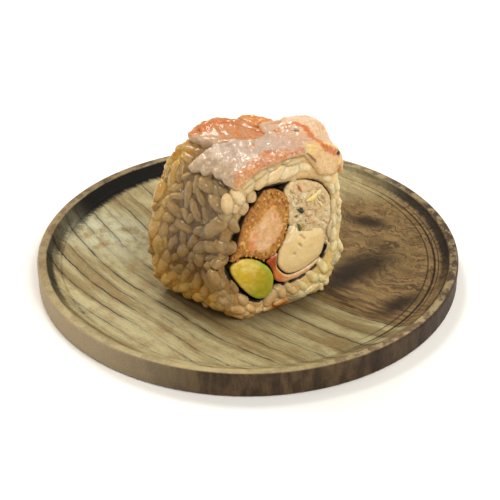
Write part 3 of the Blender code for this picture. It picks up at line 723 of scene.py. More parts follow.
def grain_shape():
    """One rice grain of unit half lengths: blunt ends, a little flat."""
    turns = np.linspace(0, 2 * math.pi, GRAIN_ROUND, endpoint=False)
    rows = [[(-1.0, 0.0, 0.0)]]
    for tilt in np.linspace(-math.pi / 2, math.pi / 2, GRAIN_RINGS + 2)[1:-1]:
        x = math.copysign(abs(math.sin(tilt)) ** 0.88, tilt)
        r = math.cos(tilt) ** 0.74
        rows.append([(x, r * math.cos(a), r * math.sin(a)) for a in turns])
    rows.append([(1.0, 0.0, 0.0)])
    vertices = np.array([p for row in rows for p in row])
    faces = []
    last = len(vertices) - 1
    for i in range(GRAIN_ROUND):
        j = (i + 1) % GRAIN_ROUND
        faces.append((0, 1 + j, 1 + i))
        for k in range(GRAIN_RINGS - 1):
            a = 1 + k * GRAIN_ROUND
            faces.append((a + i, a + j, a + GRAIN_ROUND + j, a + GRAIN_ROUND + i))
        a = 1 + (GRAIN_RINGS - 1) * GRAIN_ROUND
        faces.append((a + i, a + j, last))
    return vertices, faces


GRAIN_POINTS, GRAIN_FACES = grain_shape()


def unit(vector):
    return vector / np.linalg.norm(vector)


# Grains of the left side that stand out: s, z, length, width, angle from the front upwards, tint.
SIDE_GRAINS = [
    (4.2, 32.2, 7.0, 3.6, -14, 0.8), (13.6, 31.0, 7.8, 2.7, -80, 0.7), (16.6, 34.6, 6.8, 2.2, 42, 0.6),
    (20.3, 33.5, 8.0, 3.2, -85, 1.0), (9.3, 35.0, 7.4, 4.4, -5, 0.7), (3.4, 35.2, 5.0, 3.0, -10, 0.0),
    (10.2, 28.8, 6.8, 3.2, -48, 0.5), (9.4, 31.7, 5.6, 2.6, -35, 0.4), (6.6, 29.3, 6.2, 3.4, -60, 0.2),
    (2.2, 26.8, 8.8, 4.4, 52, 0.8), (11.2, 26.2, 3.6, 2.6, 60, 0.5), (7.6, 24.2, 5.6, 3.0, 35, 0.4),
    (13.0, 23.6, 7.6, 3.6, -5, 0.7), (16.2, 26.5, 6.0, 3.4, -20, 0.4), (16.4, 29.7, 6.4, 2.6, 22, 0.5),
    (19.0, 27.6, 6.0, 3.0, 50, 0.6), (1.4, 21.8, 7.2, 3.6, 18, 0.9), (6.2, 20.4, 7.0, 4.0, 40, 0.5),
    (9.6, 20.6, 6.0, 3.2, 50, 0.4), (12.2, 17.3, 5.6, 3.6, 45, 0.6), (2.8, 17.2, 4.4, 2.8, 30, 1.0),
    (6.7, 17.0, 5.6, 4.0, 60, 0.5), (1.3, 13.4, 5.6, 4.2, -50, 1.0), (4.2, 11.6, 6.5, 4.0, -60, 0.6),
    (8.7, 9.6, 8.6, 3.2, 58, 0.6), (12.6, 9.8, 8.6, 2.8, 58, 0.2), (6.4, 8.0, 7.6, 3.0, 55, 0.4),
    (2.9, 8.0, 7.0, 3.2, 45, 0.7), (1.2, 5.0, 7.0, 3.0, 42, 1.0), (4.6, 4.2, 7.6, 3.0, 40, 0.7),
    (9.6, 4.6, 8.0, 3.2, 38, 0.5), (15.5, 18.3, 6.0, 3.4, 60, 0.5), (15.2, 14.4, 6.0, 3.0, 50, 0.3),
    (18.0, 12.5, 8.0, 3.4, 60, 0.5), (20.8, 15.5, 8.0, 3.6, 62, 0.8), (18.6, 20.5, 6.5, 3.4, 70, 0.5),
    (21.8, 20.0, 7.0, 3.4, 75, 0.9), (20.5, 9.0, 8.0, 3.2, 50, 0.7), (14.0, 5.4, 8.0, 3.2, 42, 0.4),
    (17.6, 7.4, 8.0, 3.2, 45, 0.4), (20.9, 24.2, 6.0, 3.2, 60, 0.8), (18.0, 23.9, 5.6, 3.0, 15, 0.5),
    (9.8, 13.4, 5.0, 3.0, 50, 0.2), (18.6, 37.4, 5.4, 2.8, -5, 0.6), (18.0, 31.2, 5.6, 2.8, 30, 0.5),
    (16.9, 3.6, 7.0, 3.0, 40, 0.5), (20.4, 4.8, 7.0, 3.0, 45, 0.7), (22.6, 28.8, 6.0, 3.0, 80, 0.9)]


# How far past the cuts (below zero) a grain may reach.
CUT_OVERHANG = -0.45


class Grain:
    """A rice grain: its centre and axes in world millimetres, and its half lengths."""

    def __init__(self, centre, along, out, half, bend=0.0, tint=0.0):
        self.centre = centre
        self.along = unit(along)
        self.out = unit(out - self.along * (out @ self.along))
        self.across = np.cross(self.out, self.along)
        self.half = np.array(half)
        self.bend = bend
        self.tint = tint

    def points(self):
        dents = 1 + 0.17 * noise(GRAIN_POINTS * 1.2 + self.centre, 1.0, 7)
        shape = GRAIN_POINTS * self.half * dents[:, None]
        shape[:, 1] += self.bend * GRAIN_POINTS[:, 0] ** 2
        return self.centre + shape @ np.stack([self.along, self.across, self.out])


FACE_OUT = unit(np.cross(FACE_AXIS, UP_AXIS))
LEFT_OUT = unit(np.cross(UP_AXIS, ROLL_AXIS))


def roll_direction(u, s, z):
    return u * FACE_AXIS + s * ROLL_AXIS + z * UP_AXIS


def side_surface(t, s):
    """Centre, outward normal and tangent of the bare rice's side, at t round it and s along it."""
    section = dense_loop(rice_outline(s))
    closed = np.vstack([section, section[:1]])
    length = np.r_[0, np.cumsum(np.linalg.norm(np.diff(closed, axis=0), axis=1))]
    at = t % 1.0 * length[-1]
    here = np.array([np.interp(at, length, closed[:, k]) for k in (0, 1)])
    ahead = np.array([np.interp((at + 0.8) % length[-1], length, closed[:, k]) for k in (0, 1)])
    behind = np.array([np.interp((at - 0.8) % length[-1], length, closed[:, k]) for k in (0, 1)])
    tangent = unit(roll_direction(ahead[0] - behind[0], 0, ahead[1] - behind[1]))
    normal = unit(np.cross(ROLL_AXIS, tangent))
    return ROLL_BASE + roll_direction(here[0], s, here[1]), normal, tangent


def random_half(rng, scale=1.0):
    return [h * scale * (1 + rng.uniform(-0.16, 0.14)) for h in GRAIN_HALF]


def left_surface(s, z):
    """Centre, outward normal and upward tangent of the bare rice's left side at a height."""
    section = dense_loop(rice_outline(s))
    branch = section[(section[:, 0] < 2.0) & (section[:, 1] > 0.4)]
    branch = branch[np.argsort(branch[:, 1])]
    here, ahead = np.interp((z, z + 0.8), branch[:, 1], branch[:, 0])
    tangent = unit(roll_direction(ahead - here, 0, 0.8))
    normal = unit(np.cross(tangent, ROLL_AXIS))
    return ROLL_BASE + roll_direction(here, s, z), normal, tangent


def placed_side_grains(rng):
    """The big grains of the left side, pressed nearly flush."""
    made = []
    for s, z, length, width, angle, tint in SIDE_GRAINS:
        centre, normal, tangent = left_surface(s, z)
        turn = math.radians(angle)
        along = -ROLL_AXIS * math.cos(turn) + tangent * math.sin(turn) + normal * rng.gauss(0, 0.08)
        half = (length / 2 + 0.1, width / 2 + 0.1, 1.35)
        lift = 0.4 * tint + rng.uniform(-0.1, 0.1) - 0.5
        made.append(Grain(centre + normal * lift, along, normal, half, rng.uniform(-0.3, 0.3), tint))
    return made


def side_grains(rng):
    """Grains all round the roll's side; on the left they only fill in between the placed ones."""
    made = placed_side_grains(rng)
    placed = np.array([grain.centre for grain in made])
    spots = []
    for _ in range(SIDE_TRIES):
        t, s = rng.random(), rng.uniform(0.6, ROLL_LENGTH - 0.6)
        centre, normal, tangent = side_surface(t, s)
        if spots and min(np.linalg.norm(np.array(spots) - centre, axis=1)) < SIDE_SPACING:
            continue
        on_left = normal @ LEFT_OUT > 0.45
        if on_left and min(np.linalg.norm(placed - centre, axis=1)) < FILL_IN_SPACING:
            continue
        spots.append(centre)
        turn = rng.gauss(math.radians(30), 0.7)
        along = tangent * math.cos(turn) + ROLL_AXIS * math.sin(turn)
        along = unit(along) + normal * rng.gauss(0, 0.12)
        on_right = normal @ LEFT_OUT < -0.45
        depth = rng.uniform(-0.8, -0.5) if on_left else rng.uniform(-0.5, 0.05) + 0.3 * on_right
        made.append(Grain(centre + normal * depth, along, normal, random_half(rng), rng.uniform(-0.4, 0.4),
                          rng.random()))
    return made


def face_grains(rng, s_face, outward):
    """Grains in the ring of rice at a cut, between the seaweed and the outside."""
    outline = dense_loop(rice_outline(s_face))[::4]
    seaweed = even_loop(NORI_LINE, 90)
    tries = np.array([(rng.uniform(-14, 22), rng.uniform(0, 42)) for _ in range(FACE_TRIES)])
    rooms = np.minimum(line_distance(tries, outline, True), line_distance(tries, seaweed, True))
    free = inside(tries, outline) & ~inside(tries, seaweed) & (rooms > 1.0)
    made = []
    spots = []
    for spot, room in zip(tries[free], rooms[free]):
        if spots and min(np.linalg.norm(np.array(spots) - spot, axis=1)) < FACE_SPACING:
            continue
        spots.append(spot)
        if outward < 0 and on_hand_placed(spot):
            continue
        turn = rng.uniform(0, math.pi)
        along = FACE_AXIS * math.cos(turn) + UP_AXIS * math.sin(turn) + ROLL_AXIS * rng.gauss(0, 0.45)
        reach = min(1.0, 0.62 + room * 0.16)
        half = [h * min(1.0, reach * k) for h, k in zip(random_half(rng), (1.0, 1.25, 1.2))]
        centre = ROLL_BASE + roll_direction(spot[0], s_face - outward * (1.5 + rng.uniform(0, 0.4)), spot[1])
        made.append(Grain(centre, along, FACE_OUT * -outward, half, rng.uniform(-0.3, 0.3), rng.random()))
    return made


# Grains of the cut face that stand out: u, z, length, width, angle, how far out, tint.
FACE_GRAINS = [
    (-4.3, 33.7, 3.0, 2.8, 80, 0.9, 0.1), (-6.2, 31.1, 4.0, 2.7, 55, 0.4, 0.0),
    (-7.7, 34.6, 5.4, 3.3, -58, 0.8, 0.9), (-10.2, 32.8, 7.4, 3.3, -75, 0.5, 0.5),
    (-9.2, 27.6, 6.2, 2.8, -62, 0.5, 0.8), (-10.9, 22.0, 6.8, 3.9, -32, 0.9, 0.4),
    (-12.4, 18.6, 5.0, 3.0, 20, 0.3, 0.2), (-13.6, 13.6, 8.2, 2.8, -62, 0.3, 0.8),
    (-9.2, 10.2, 4.8, 2.1, -60, 0.6, 0.3), (-11.0, 7.4, 4.6, 3.6, -20, 0.6, 1.0),
    (-6.6, 5.6, 5.0, 2.5, -48, 0.6, 0.5), (-8.0, 3.2, 5.6, 2.8, -30, 0.4, 0.8),
    (-4.3, 2.2, 4.6, 2.6, -35, 0.5, 0.7), (-1.2, 1.9, 3.6, 2.6, 60, 0.2, 0.5),
    (1.3, 3.4, 5.4, 3.2, 42, 0.7, 0.2), (4.2, 4.2, 4.6, 3.0, 118, 0.6, 0.3),
    (4.2, 1.6, 4.6, 2.4, -10, 0.3, 0.5), (7.2, 4.0, 5.0, 2.8, 122, 0.6, 0.4),
    (8.0, 1.6, 5.6, 2.6, 150, 0.4, 0.6), (10.6, 3.9, 5.2, 2.8, 128, 0.5, 0.6),
    (12.3, 2.2, 5.0, 2.6, 140, 0.3, 0.7), (13.8, 5.4, 5.4, 2.9, 132, 0.5, 0.8),
    (16.2, 4.1, 5.0, 2.8, 140, 0.3, 0.8), (16.8, 7.6, 5.6, 3.0, 120, 0.5, 0.9),
    (20.8, 8.8, 5.6, 2.8, 64, 0.3, 0.9), (19.8, 12.6, 5.4, 2.8, 96, 0.4, 0.8),
    (19.5, 16.0, 5.6, 2.6, 84, 0.3, 0.8), (19.4, 20.6, 5.8, 2.4, 92, 0.3, 0.9),
    (19.1, 25.2, 5.6, 2.4, 98, 0.3, 0.8), (18.4, 29.6, 5.2, 2.6, 106, 0.3, 0.9),
    (16.6, 33.2, 5.6, 3.2, 125, 0.3, 0.9), (12.8, 36.0, 6.4, 3.6, 148, 0.3, 0.9),
    (9.6, 37.9, 6.4, 3.4, 160, 0.7, 1.0), (6.2, 37.2, 6.6, 3.6, 12, 0.5, 1.0),
    (2.4, 37.6, 7.0, 3.8, 20, 0.5, 0.8), (-1.2, 37.2, 6.0, 3.4, 35, 0.5, 0.7),
    (-4.6, 37.0, 5.2, 3.0, 60, 0.4, 0.6), (7.6, 35.3, 3.2, 2.2, 70, 0.3, 0.4),
    (3.6, 35.9, 3.6, 2.0, 0, 0.2, 0.5)]


def on_hand_placed(spot):
    """Whether a spot of the cut face is taken by one of the listed grains."""
    return any(math.hypot(spot[0] - u, spot[1] - z) < 0.36 * length + 0.3 * width
               for u, z, length, width, *_ in FACE_GRAINS)


def placed_face_grains():
    made = []
    for u, z, length, width, angle, lift, tint in FACE_GRAINS:
        turn = math.radians(angle)
        along = FACE_AXIS * math.cos(turn) + UP_AXIS * math.sin(turn) + ROLL_AXIS * 0.12
        centre = ROLL_BASE + roll_direction(u, 1.65 - lift, z)
        half = (length / 2, width / 2, min(1.5, width * 0.47))
        made.append(Grain(centre, along, FACE_OUT, half, 0.15, tint))
    return made


def rice_core():
    """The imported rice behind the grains, a ring round the seaweed."""
    nori = even_loop(NORI_LINE, 120)
    tunnel = offset_loop(nori, NORI_THICKNESS / 2 + 0.1)
    places = np.linspace(RICE_INSET, ROLL_LENGTH - RICE_INSET, 8)
    outer = []
    for s in places:
        outline = even_loop(rice_outline(s), 120)
        start = np.argmin(np.linalg.norm(outline - tunnel[0], axis=1))
        outline = offset_loop(np.roll(outline, -start, 0), 0.55)
        outer.append(set_at(outline, s))
    outline = to_roll(outer[0])[:, [0, 2]]
    if np.linalg.norm(outline[30] - tunnel[30]) > np.linalg.norm(outline[30] - tunnel[-30]):
        tunnel = np.roll(tunnel[::-1], 1, 0)
    inner = [set_at(tunnel, s) for s in places]
    return bridged(outer + inner[::-1], closed=True)


def tree_of(node):
    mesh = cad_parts[node].data
    return BVHTree.FromPolygons([v.co for v in mesh.vertices], [p.vertices for p in mesh.polygons])


def covers():
    """The toppings' solids, which grains keep clear of."""
    return [tree_of(name) for name in ("prawn_topping_front", "prawn_topping_back", "prawn_topping_rear")]


def clear_of(points, trees, margin):
    """Whether all these places (metres) lie outside the trees' solids by a margin in millimetres."""
    for tree in trees:
        for point in points:
            spot, normal, _, distance = tree.find_nearest(Vector(point), 6 * MM)
            if spot is not None and (distance < margin * MM or (Vector(point) - spot).dot(normal) < 0):
                return False
    return True


def settled(grain, trees):
    """Moves a grain up off the board and in under the toppings; None where it finds no room."""
    for _ in range(7):
        lowest = grain.points()[:, 2].min()
        grain.centre = grain.centre + UP_AXIS * max(0.0, FLOOR_HEIGHT + 0.02 - lowest)
        along = to_roll(grain.points() * MM)[:, 1]
        past = max(0.0, CUT_OVERHANG - along.min()) - max(0.0, along.max() - ROLL_LENGTH + CUT_OVERHANG)
        grain.centre = grain.centre + ROLL_AXIS * past
        if clear_of(grain.points()[::6] * MM, trees, 0.05):
            return grain
        grain.centre = grain.centre - (0.6 * grain.out + 0.5 * UP_AXIS) * 0.4
    return None


def rice():
    """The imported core, and over it every outer grain as a closed skin pressed into its neighbours."""
    rng = random.Random(20)
    trees = covers()
    grains = side_grains(rng) + face_grains(rng, 0.0, -1.0) + face_grains(rng, ROLL_LENGTH, 1.0)
    grains += placed_face_grains()
    grains = [grain for grain in grains if settled(grain, trees)]
    material = food("cooked_rice", 0.32, 0.5, 0.24, 0.9, 0.16,
                    coat=0.42, reach=1.6, rough_spread=0.14, specular=0.22)
    core = melted(mesh_object("rice_core", *rice_core()), 0.5, 1, 0.4)
    places, normals = points_of(core)
    roll = to_roll(places)
    tunnel = line_distance(roll[:, [0, 2]], even_loop(NORI_LINE, 90), True)
    relief(core, (0.4 * noise(places / MM, 2.2, 15, 2) + 0.1 * noise(places / MM, 0.9, 16))
           * smooth(tunnel, 0.3, 1.2))
    # The core shows only in the gaps between the grains, so it gets painted shade: darker and warmer.
    between = rice_tones_and_painted_light(roll, normals, np.full(len(places), 0.4), np.full(len(places), 0.15))
    paint(core, between * (1.0, 0.92, 0.76))
    dress(core, material, "rice", "rice")
    skin = mesh_object("rice_grains", *joined([(grain.points() * MM, GRAIN_FACES) for grain in grains]))
    facing = np.repeat([grain.out for grain in grains], len(GRAIN_POINTS), 0)
    tint = np.repeat([grain.tint for grain in grains], len(GRAIN_POINTS))
    # Each vertex's height on its grain, which sets the grains' painted highlight and painted shade.
    rise = np.tile(GRAIN_POINTS[:, 2], len(grains))
    paint(skin, rice_tones_and_painted_light(to_roll(points_of(skin)[0]), facing, tint, rise))
    dress(skin, material, "rice", "rice")


def rice_tones_and_painted_light(roll, facing, tint, rise):
    """Creamy at the cut; painted light brightens the right and the lower right; painted shade darkens the left
    side, ochre low down and greyer high up, the cut's front-left corner, the creases between grains and the rice
    beside the seaweed; the grains' tops get a painted highlight.
    """
    u, s, z = roll.T
    left = smooth(facing @ LEFT_OUT, -0.1, 0.6) * smooth(facing @ FACE_OUT, 0.9, 0.5) * smooth(s, -0.2, 1.2)
    left = np.maximum(left, smooth(s, 18, 21) * smooth(u, -5, -9))
    tones = np.tile(rgb(222, 192, 142), (len(roll), 1))
    tones = blended(tones, smooth(tint, 0.4, 0.0) * 0.4, rgb(204, 172, 124))
    tones = blended(tones, smooth(tint, 0.7, 1.0) * 0.6, rgb(234, 212, 170))
    tones = blended(tones, smooth(z, 14, 4) * smooth(u, 12, 4) * 0.5, rgb(222, 180, 118))
    # Painted light: the right side and the lower right of the cut are brightened.
    tones = blended(tones, smooth(u, 17, 20) * 0.85, rgb(246, 224, 172))
    tones = blended(tones, smooth(u, 6, 13) * smooth(z, 17, 9) * 0.9, rgb(255, 228, 164))
    # Painted shade on the front-left corner of the cut.
    corner = smooth(u, -6.4, -9.8) * smooth(z, 35, 28) * smooth(s, 3.0, 1.0)
    tones = blended(tones, corner * (0.6 + 0.25 * smooth(z, 6, 11)), rgb(142, 108, 56))
    # Painted shade over the whole left side: ochre low down, greyer high up.
    left_shade_tones = np.tile(rgb(112, 77, 25), (len(roll), 1))
    left_shade_tones = blended(left_shade_tones, smooth(z, 20, 33), rgb(144, 118, 88))
    left_shade_tones = blended(left_shade_tones, smooth(z, 19, 9), rgb(140, 94, 16))
    # Painted warm glow low on the left side.
    left_shade_tones = blended(left_shade_tones, smooth(z, 13, 3), rgb(232, 178, 78))
    left_shade_tones = blended(left_shade_tones, smooth(s, 14, 22) * 0.9, rgb(222, 174, 84))
    left_shade_tones = blended(left_shade_tones, smooth(tint, 0.55, 1.0) * 0.4, rgb(170, 138, 82))
    # Painted highlight on the grains' tops.
    left_shade_tones = blended(left_shade_tones, smooth(rise, 0.35, 0.95) * 0.42, rgb(190, 166, 124))
    left_shade_tones *= (0.8 + 0.3 * tint)[:, None]
    # Painted shade low on each grain's sides.
    left_shade_tones *= (0.6 + 0.42 * smooth(rise, -0.3, 0.6))[:, None]
    left_shade_tones *= blended(np.tile((0.84, 0.78, 0.6), (len(roll), 1)), smooth(z, 12, 4), (1.14, 1.06, 0.84))
    tones = tones * (1 - left[:, None]) + left_shade_tones * left[:, None]
    tones = blended(tones, smooth(z, 6, 0) * smooth(u, 12, 4) * (1 - left) * 0.4, rgb(212, 158, 76))
    # Painted shade beside the seaweed's edge.
    edge = line_distance(roll[:, [0, 2]], even_loop(NORI_LINE, 90), True)
    tones *= (0.76 + 0.24 * smooth(edge, 0.3, 1.7))[:, None]
    tones *= (1 + 0.07 * noise(roll, 2.2, 8, 2))[:, None]
    # Painted shade in the creases between the grains.
    tones *= (0.8 + 0.22 * smooth(rise, -0.35, 0.65))[:, None]
    orange = smooth(line_distance(roll, [(2.4, 0.3, 0.9), (4.6, 0.3, 1.0)]), 1.5, 0.7)
    return blended(tones, orange * 0.9, rgb(210, 120, 20))


# Seaweed

def nori():
    """The seaweed sheet, a wrinkled ring with a ragged edge at both cuts, and a dark disc halfway that stands in
    for shade in the gaps.
    """
    line = even_loop(NORI_LINE, 300)
    places = np.linspace(NORI_FRONT, NORI_BACK, 26)
    wall = []
    for side in (0.5, -0.5):
        rows = []
        for s in places if side > 0 else places[::-1]:
            probe = np.stack([line[:, 0], np.full(300, s), line[:, 1]], 1)
            wave = 0.1 * noise(probe, (1.4, 4.0, 1.4), 11, 2)
            rows_at = offset_loop(line, 1.0) - line
            loop = line + rows_at * (side * NORI_THICKNESS + wave)[:, None]
            end = smooth(s, 3.0, NORI_FRONT) - smooth(s, NORI_BACK - 3.0, NORI_BACK)
            depth = s + end * 0.25 * noise(probe * (1, 0, 1), 1.1, 12, 2)
            rows.append(to_world(np.stack([loop[:, 0], depth, loop[:, 1]], 1)))
        wall += rows
    # A dark disc across the roll halfway, standing in for shade deep in the gaps.
    fold = [set_at(line, s) for s in NORI_SHADE_SHEET]
    vertices, faces = joined([bridged(wall, closed=True), bridged(fold)])
    made = mesh_object("nori_sheet", vertices, faces)
    paint(made, np.tile(rgb(26, 24, 18), (len(vertices), 1)))
    return dress(made, food("seaweed", 0.42, 0.0, 0.5, 0.5, 0.1, rough_spread=0.12), "nori", "nori")


# Fillings

def prism(outline, front, back, count=110, bevel=0.35):
    """A filling's closed shape from its outline, with softened cut edges."""
    loop = even_loop(outline, count)
    inner = offset_loop(loop, -bevel)
    rows = []
    for s, section in ((front, inner), (front + bevel, loop), (back - bevel, loop), (back, inner)):
        rows.append(set_at(section, s))
    return bridged(rows)


def filling(name, outline, front, voxel=0.26, rounds=2, swell=0.0):
    """A filling as an even fine mesh that runs through the roll, pressed wider by swell."""
    outline = offset_loop(even_loop(outline, 110), swell)
    return melted(mesh_object(name, *prism(outline, front, ROLL_LENGTH - front)), voxel, rounds)


def cut_share(roll, reach=1.4):
    """1 on the front and back cut faces of a filling, falling to 0 along its side."""
    from_cut = np.minimum(roll[:, 1], ROLL_LENGTH - roll[:, 1])
    return smooth(from_cut, reach, 0.6)


def painted_shade_in_gaps(tones, roll):
    """Painted shade: darkens a filling's side walls, which show only in the gaps beside the seaweed."""
    from_cut = np.minimum(roll[:, 1], ROLL_LENGTH - roll[:, 1])
    return tones * (1 - 0.95 * smooth(from_cut, 0.3, 1.0))[:, None]


def fried_prawn():
    """A prawn fried in crumbs: pale flesh inside a rough golden crust."""
    made = filling("fried_prawn_body", FRIED_PRAWN, 0.1, 0.24, 1)
    places, normals = points_of(made)
    roll = to_roll(places)
    flat = roll[:, [0, 2]]
    edge = line_distance(flat, even_loop(FRIED_PRAWN, 90), True)
    flesh_line = [(0.6, 29.4), (2.1, 28.3), (3.0, 26.2), (3.6, 23.0), (2.8, 20.8), (1.3, 19.1), (-0.9, 17.9),
                  (-3.5, 18.4), (-5.2, 20.2), (-5.6, 23.0), (-4.7, 24.9), (-3.2, 26.2), (-2.0, 27.6), (-0.8, 29.0)]
    flesh_loop = even_loop(flesh_line, 60)
    depth = np.where(inside(flat, flesh_loop), 1.0, -1.0) * line_distance(flat, flesh_loop, True)
    depth = depth + 0.4 * noise(roll, (1.2, 6.0, 1.2), 21, 2)
    cut = cut_share(roll)
    flesh = smooth(depth, -0.45, 0.3) * cut
    crumb = 0.30 * noise(roll, 0.9, 22, 2) + 0.2 * noise(roll, 0.42, 23)
    height = (1 - flesh) * (crumb + 0.05) + flesh * (0.25 + 0.06 * noise(roll, 1.2, 24, 2))
    relief(made, height * np.where(edge < 0.3, 0.7, 1.0))
    tones = np.tile(rgb(184, 124, 44), (len(places), 1))
    tones = blended(tones, smooth(noise(roll, 1.5, 25, 3), 0.0, 0.5) * 0.75, rgb(142, 84, 20))
    tones = blended(tones, smooth(noise(roll, 0.6, 26, 2), 0.1, 0.5) * 0.8, rgb(230, 182, 96))
    tones = blended(tones, smooth(edge, 0.9, 0.1) * 0.5, rgb(146, 84, 26))
    pale = np.tile(rgb(222, 172, 120), (len(places), 1))
    pale = blended(pale, smooth(noise(roll, 1.8, 27, 3), -0.1, 0.5) * 0.7, rgb(234, 200, 158))
    pale = blended(pale, smooth(depth, 1.4, 0.1) * 0.5, rgb(206, 146, 74))
    for spot, size, colour, amount in (
            ((1.5, 27.2), 0.75, rgb(216, 100, 56), 0.9), ((-5.0, 21.2), 1.6, rgb(220, 118, 54), 0.7),
            ((-4.0, 23.6), 1.2, rgb(226, 140, 90), 0.6), ((-4.2, 19.8), 1.2, rgb(214, 110, 60), 0.5)):
        near = smooth(np.linalg.norm(flat - spot, axis=1) + 0.4 * noise(roll, 0.8, 28), size, size * 0.35)
        pale = blended(pale, near * amount, colour)
    paint(made, painted_shade_in_gaps(tones * (1 - flesh[:, None]) + pale * flesh[:, None], roll))
    material = food("crumb_crust_and_flesh", 0.5, 0.3, 0.3, 0.7, 0.12, coat=0.12, reach=1.0)
    return dress(made, material, "fried_prawn", "fried_prawn")


CRUMB_COUNT = 130


def crumbs():
    """Loose golden crumbs standing up from the crust round the prawn's cut face."""
    rng = random.Random(31)
    shape = bmesh.new()
    bmesh.ops.create_icosphere(shape, subdivisions=2, radius=1.0)
    ball = np.array([v.co for v in shape.verts])
    sides = [tuple(v.index for v in f.verts) for f in shape.faces]
    shape.free()
    loop = even_loop(FRIED_PRAWN, 400)
    parts = []
    tones = []
    for _ in range(CRUMB_COUNT):
        u, z = loop[rng.randrange(400)]
        inwards = unit(np.array([-0.5, 24.5]) - (u, z)) * abs(rng.gauss(0.75, 0.6))
        size = rng.uniform(0.12, 0.34)
        centre = to_world([[u + inwards[0], rng.uniform(-0.2, 0.15), z + inwards[1]]])[0]
        bumps = 1 + 0.35 * noise(ball * 1.3 + rng.uniform(0, 90), 0.9, 5, 2)
        stretch = np.array([rng.uniform(0.7, 1.3) for _ in range(3)])
        parts.append((centre + ball * bumps[:, None] * stretch * size * MM, sides))
        # About one crumb in eight is painted light yellow as a glint on the crust.
        tone = rgb(232, 180, 96) if rng.random() < 0.12 else rgb(186, 126, 52)
        tones += [tone] * len(ball)
    made = mesh_object("fried_prawn_crumbs", *joined(parts))
    paint(made, np.array(tones))
    return dress(made, food("golden_crumb", 0.4, 0.25, 0.3, 0.4, 0.06, coat=0.3, reach=0.6), "fried_prawn")


def avocado():
    made = filling("avocado_slice", AVOCADO, 0.1, 0.26, 1, 0.25)
    places, _ = points_of(made)
    roll = to_roll(places)
    flat = roll[:, [0, 2]]
    cut = cut_share(roll)
    edge = line_distance(flat, even_loop(AVOCADO, 90), True)
    relief(made, cut * smooth(edge, 0, 1.2) * 0.15 + 0.16 * noise(roll, (1.6, 2.5, 2.2), 41, 3)
           + 0.05 * noise(roll @ np.array([[1, 0, 0.6], [0, 1, 0], [-0.6, 0, 1]]), (4.0, 3.0, 0.5), 42))
    lower_right = smooth((flat - (-9.0, 15.5)) @ unit(np.array([1.0, -0.72])), 3.5, 11.5)
    tones = np.tile(rgb(214, 182, 50), (len(places), 1))
    pale = smooth(noise(roll, (1.4, 3.0, 2.4), 44, 2), 0.0, 0.5) * smooth(flat[:, 0], -1.0, -5.0)
    tones = blended(tones, pale * 0.7, rgb(230, 208, 120))
    tones = blended(tones, lower_right, rgb(168, 158, 26))
    rim = smooth(edge, 1.3, 0.25) * smooth(flat[:, 0], -6.0, -1.0)
    tones = blended(tones, rim * 0.9, rgb(160, 182, 44))
    tones = blended(tones, smooth(edge, 0.7, 0.1) * smooth(flat[:, 0], -3.0, -8.0) * 0.7, rgb(228, 196, 88))
    tones = blended(tones, smooth(noise(roll, (3.0, 3.0, 1.2), 43, 2), 0.1, 0.6) * 0.35, rgb(190, 152, 22))
    paint(made, painted_shade_in_gaps(tones, roll))
    return dress(made, food("avocado_flesh", 0.38, 0.3, 0.16, 1.2, 0.05, coat=0.3), "avocado", "avocado")


def crab_wrap():
    made = filling("crab_stick_skin", CRAB_WRAP, 0.2, 0.22, 2)
    places, _ = points_of(made)
    roll = to_roll(places)
    flat = roll[:, [0, 2]]
    relief(made, 0.08 * noise(roll, (1.0, 3.0, 1.0), 51, 2))
    core = line_distance(flat, even_loop(CRAB_CORE, 90), True)
    outer = smooth(core, 0.75, 1.35)
    tones = np.tile(rgb(228, 190, 140), (len(places), 1))
    bottom = smooth(flat[:, 0], 3.5, 6.0)
    tones = blended(tones, outer * (0.95 - 0.55 * bottom), rgb(210, 116, 44))
    tip = smooth(flat[:, 1], 10.5, 13.5) * smooth(flat[:, 0], 2.9, 1.9)
    tones = blended(tones, tip * 0.95, rgb(166, 66, 12))
    paint(made, painted_shade_in_gaps(tones, roll))
    return dress(made, food("crab_stick_skin", 0.4, 0.3, 0.2, 0.9, 0.06, coat=0.3), "crab_stick_wrap",
                 "crab_stick_wrap")


def crab_core():
    made = filling("crab_stick_meat", CRAB_CORE, 0.1, 0.25, 2, 0.22)
    places, _ = points_of(made)
    roll = to_roll(places)
    flat = roll[:, [0, 2]]
    cut = cut_share(roll)
    edge = line_distance(flat, even_loop(CRAB_CORE, 90), True)
    nick = sum(smooth(line_distance(flat, line), 0.45, 0.1) for line in (
        [(8.6, 16.9), (9.3, 15.9)], [(9.0, 19.2), (10.2, 17.9)], [(7.2, 14.6), (7.6, 14.2)]))
    slanted = roll @ np.array([[1, 0, 0.8], [0, 1, 0], [-0.8, 0, 1]])
    strands = smooth(noise(slanted, (0.5, 3.0, 2.4), 52), 0.0, 0.5)
    flaky = smooth(line_distance(flat, [(5.2, 19.0), (7.0, 22.0), (10.0, 20.0)]), 1.8, 0.4) * strands
    relief(made, cut * (smooth(edge, 0, 2.2) * 0.3 - nick * 0.35 + 0.3 * flaky)
           + 0.06 * noise(roll, 1.8, 53, 2))
    tones = np.tile(rgb(234, 206, 150), (len(places), 1))
    tones = blended(tones, smooth(noise(roll, 3.2, 54, 2), 0.0, 0.6) * 0.4, rgb(226, 192, 128))
    tones = blended(tones, flaky * 0.7, rgb(244, 228, 198))
    # Painted shade in the nicks.
    tones = blended(tones, nick * 0.5, rgb(176, 138, 84))
    paint(made, painted_shade_in_gaps(tones, roll))
    return dress(made, food("crab_stick_meat", 0.42, 0.4, 0.1, 1.2, 0.05, coat=0.2), "crab_stick_core",
                 "crab_stick_core")


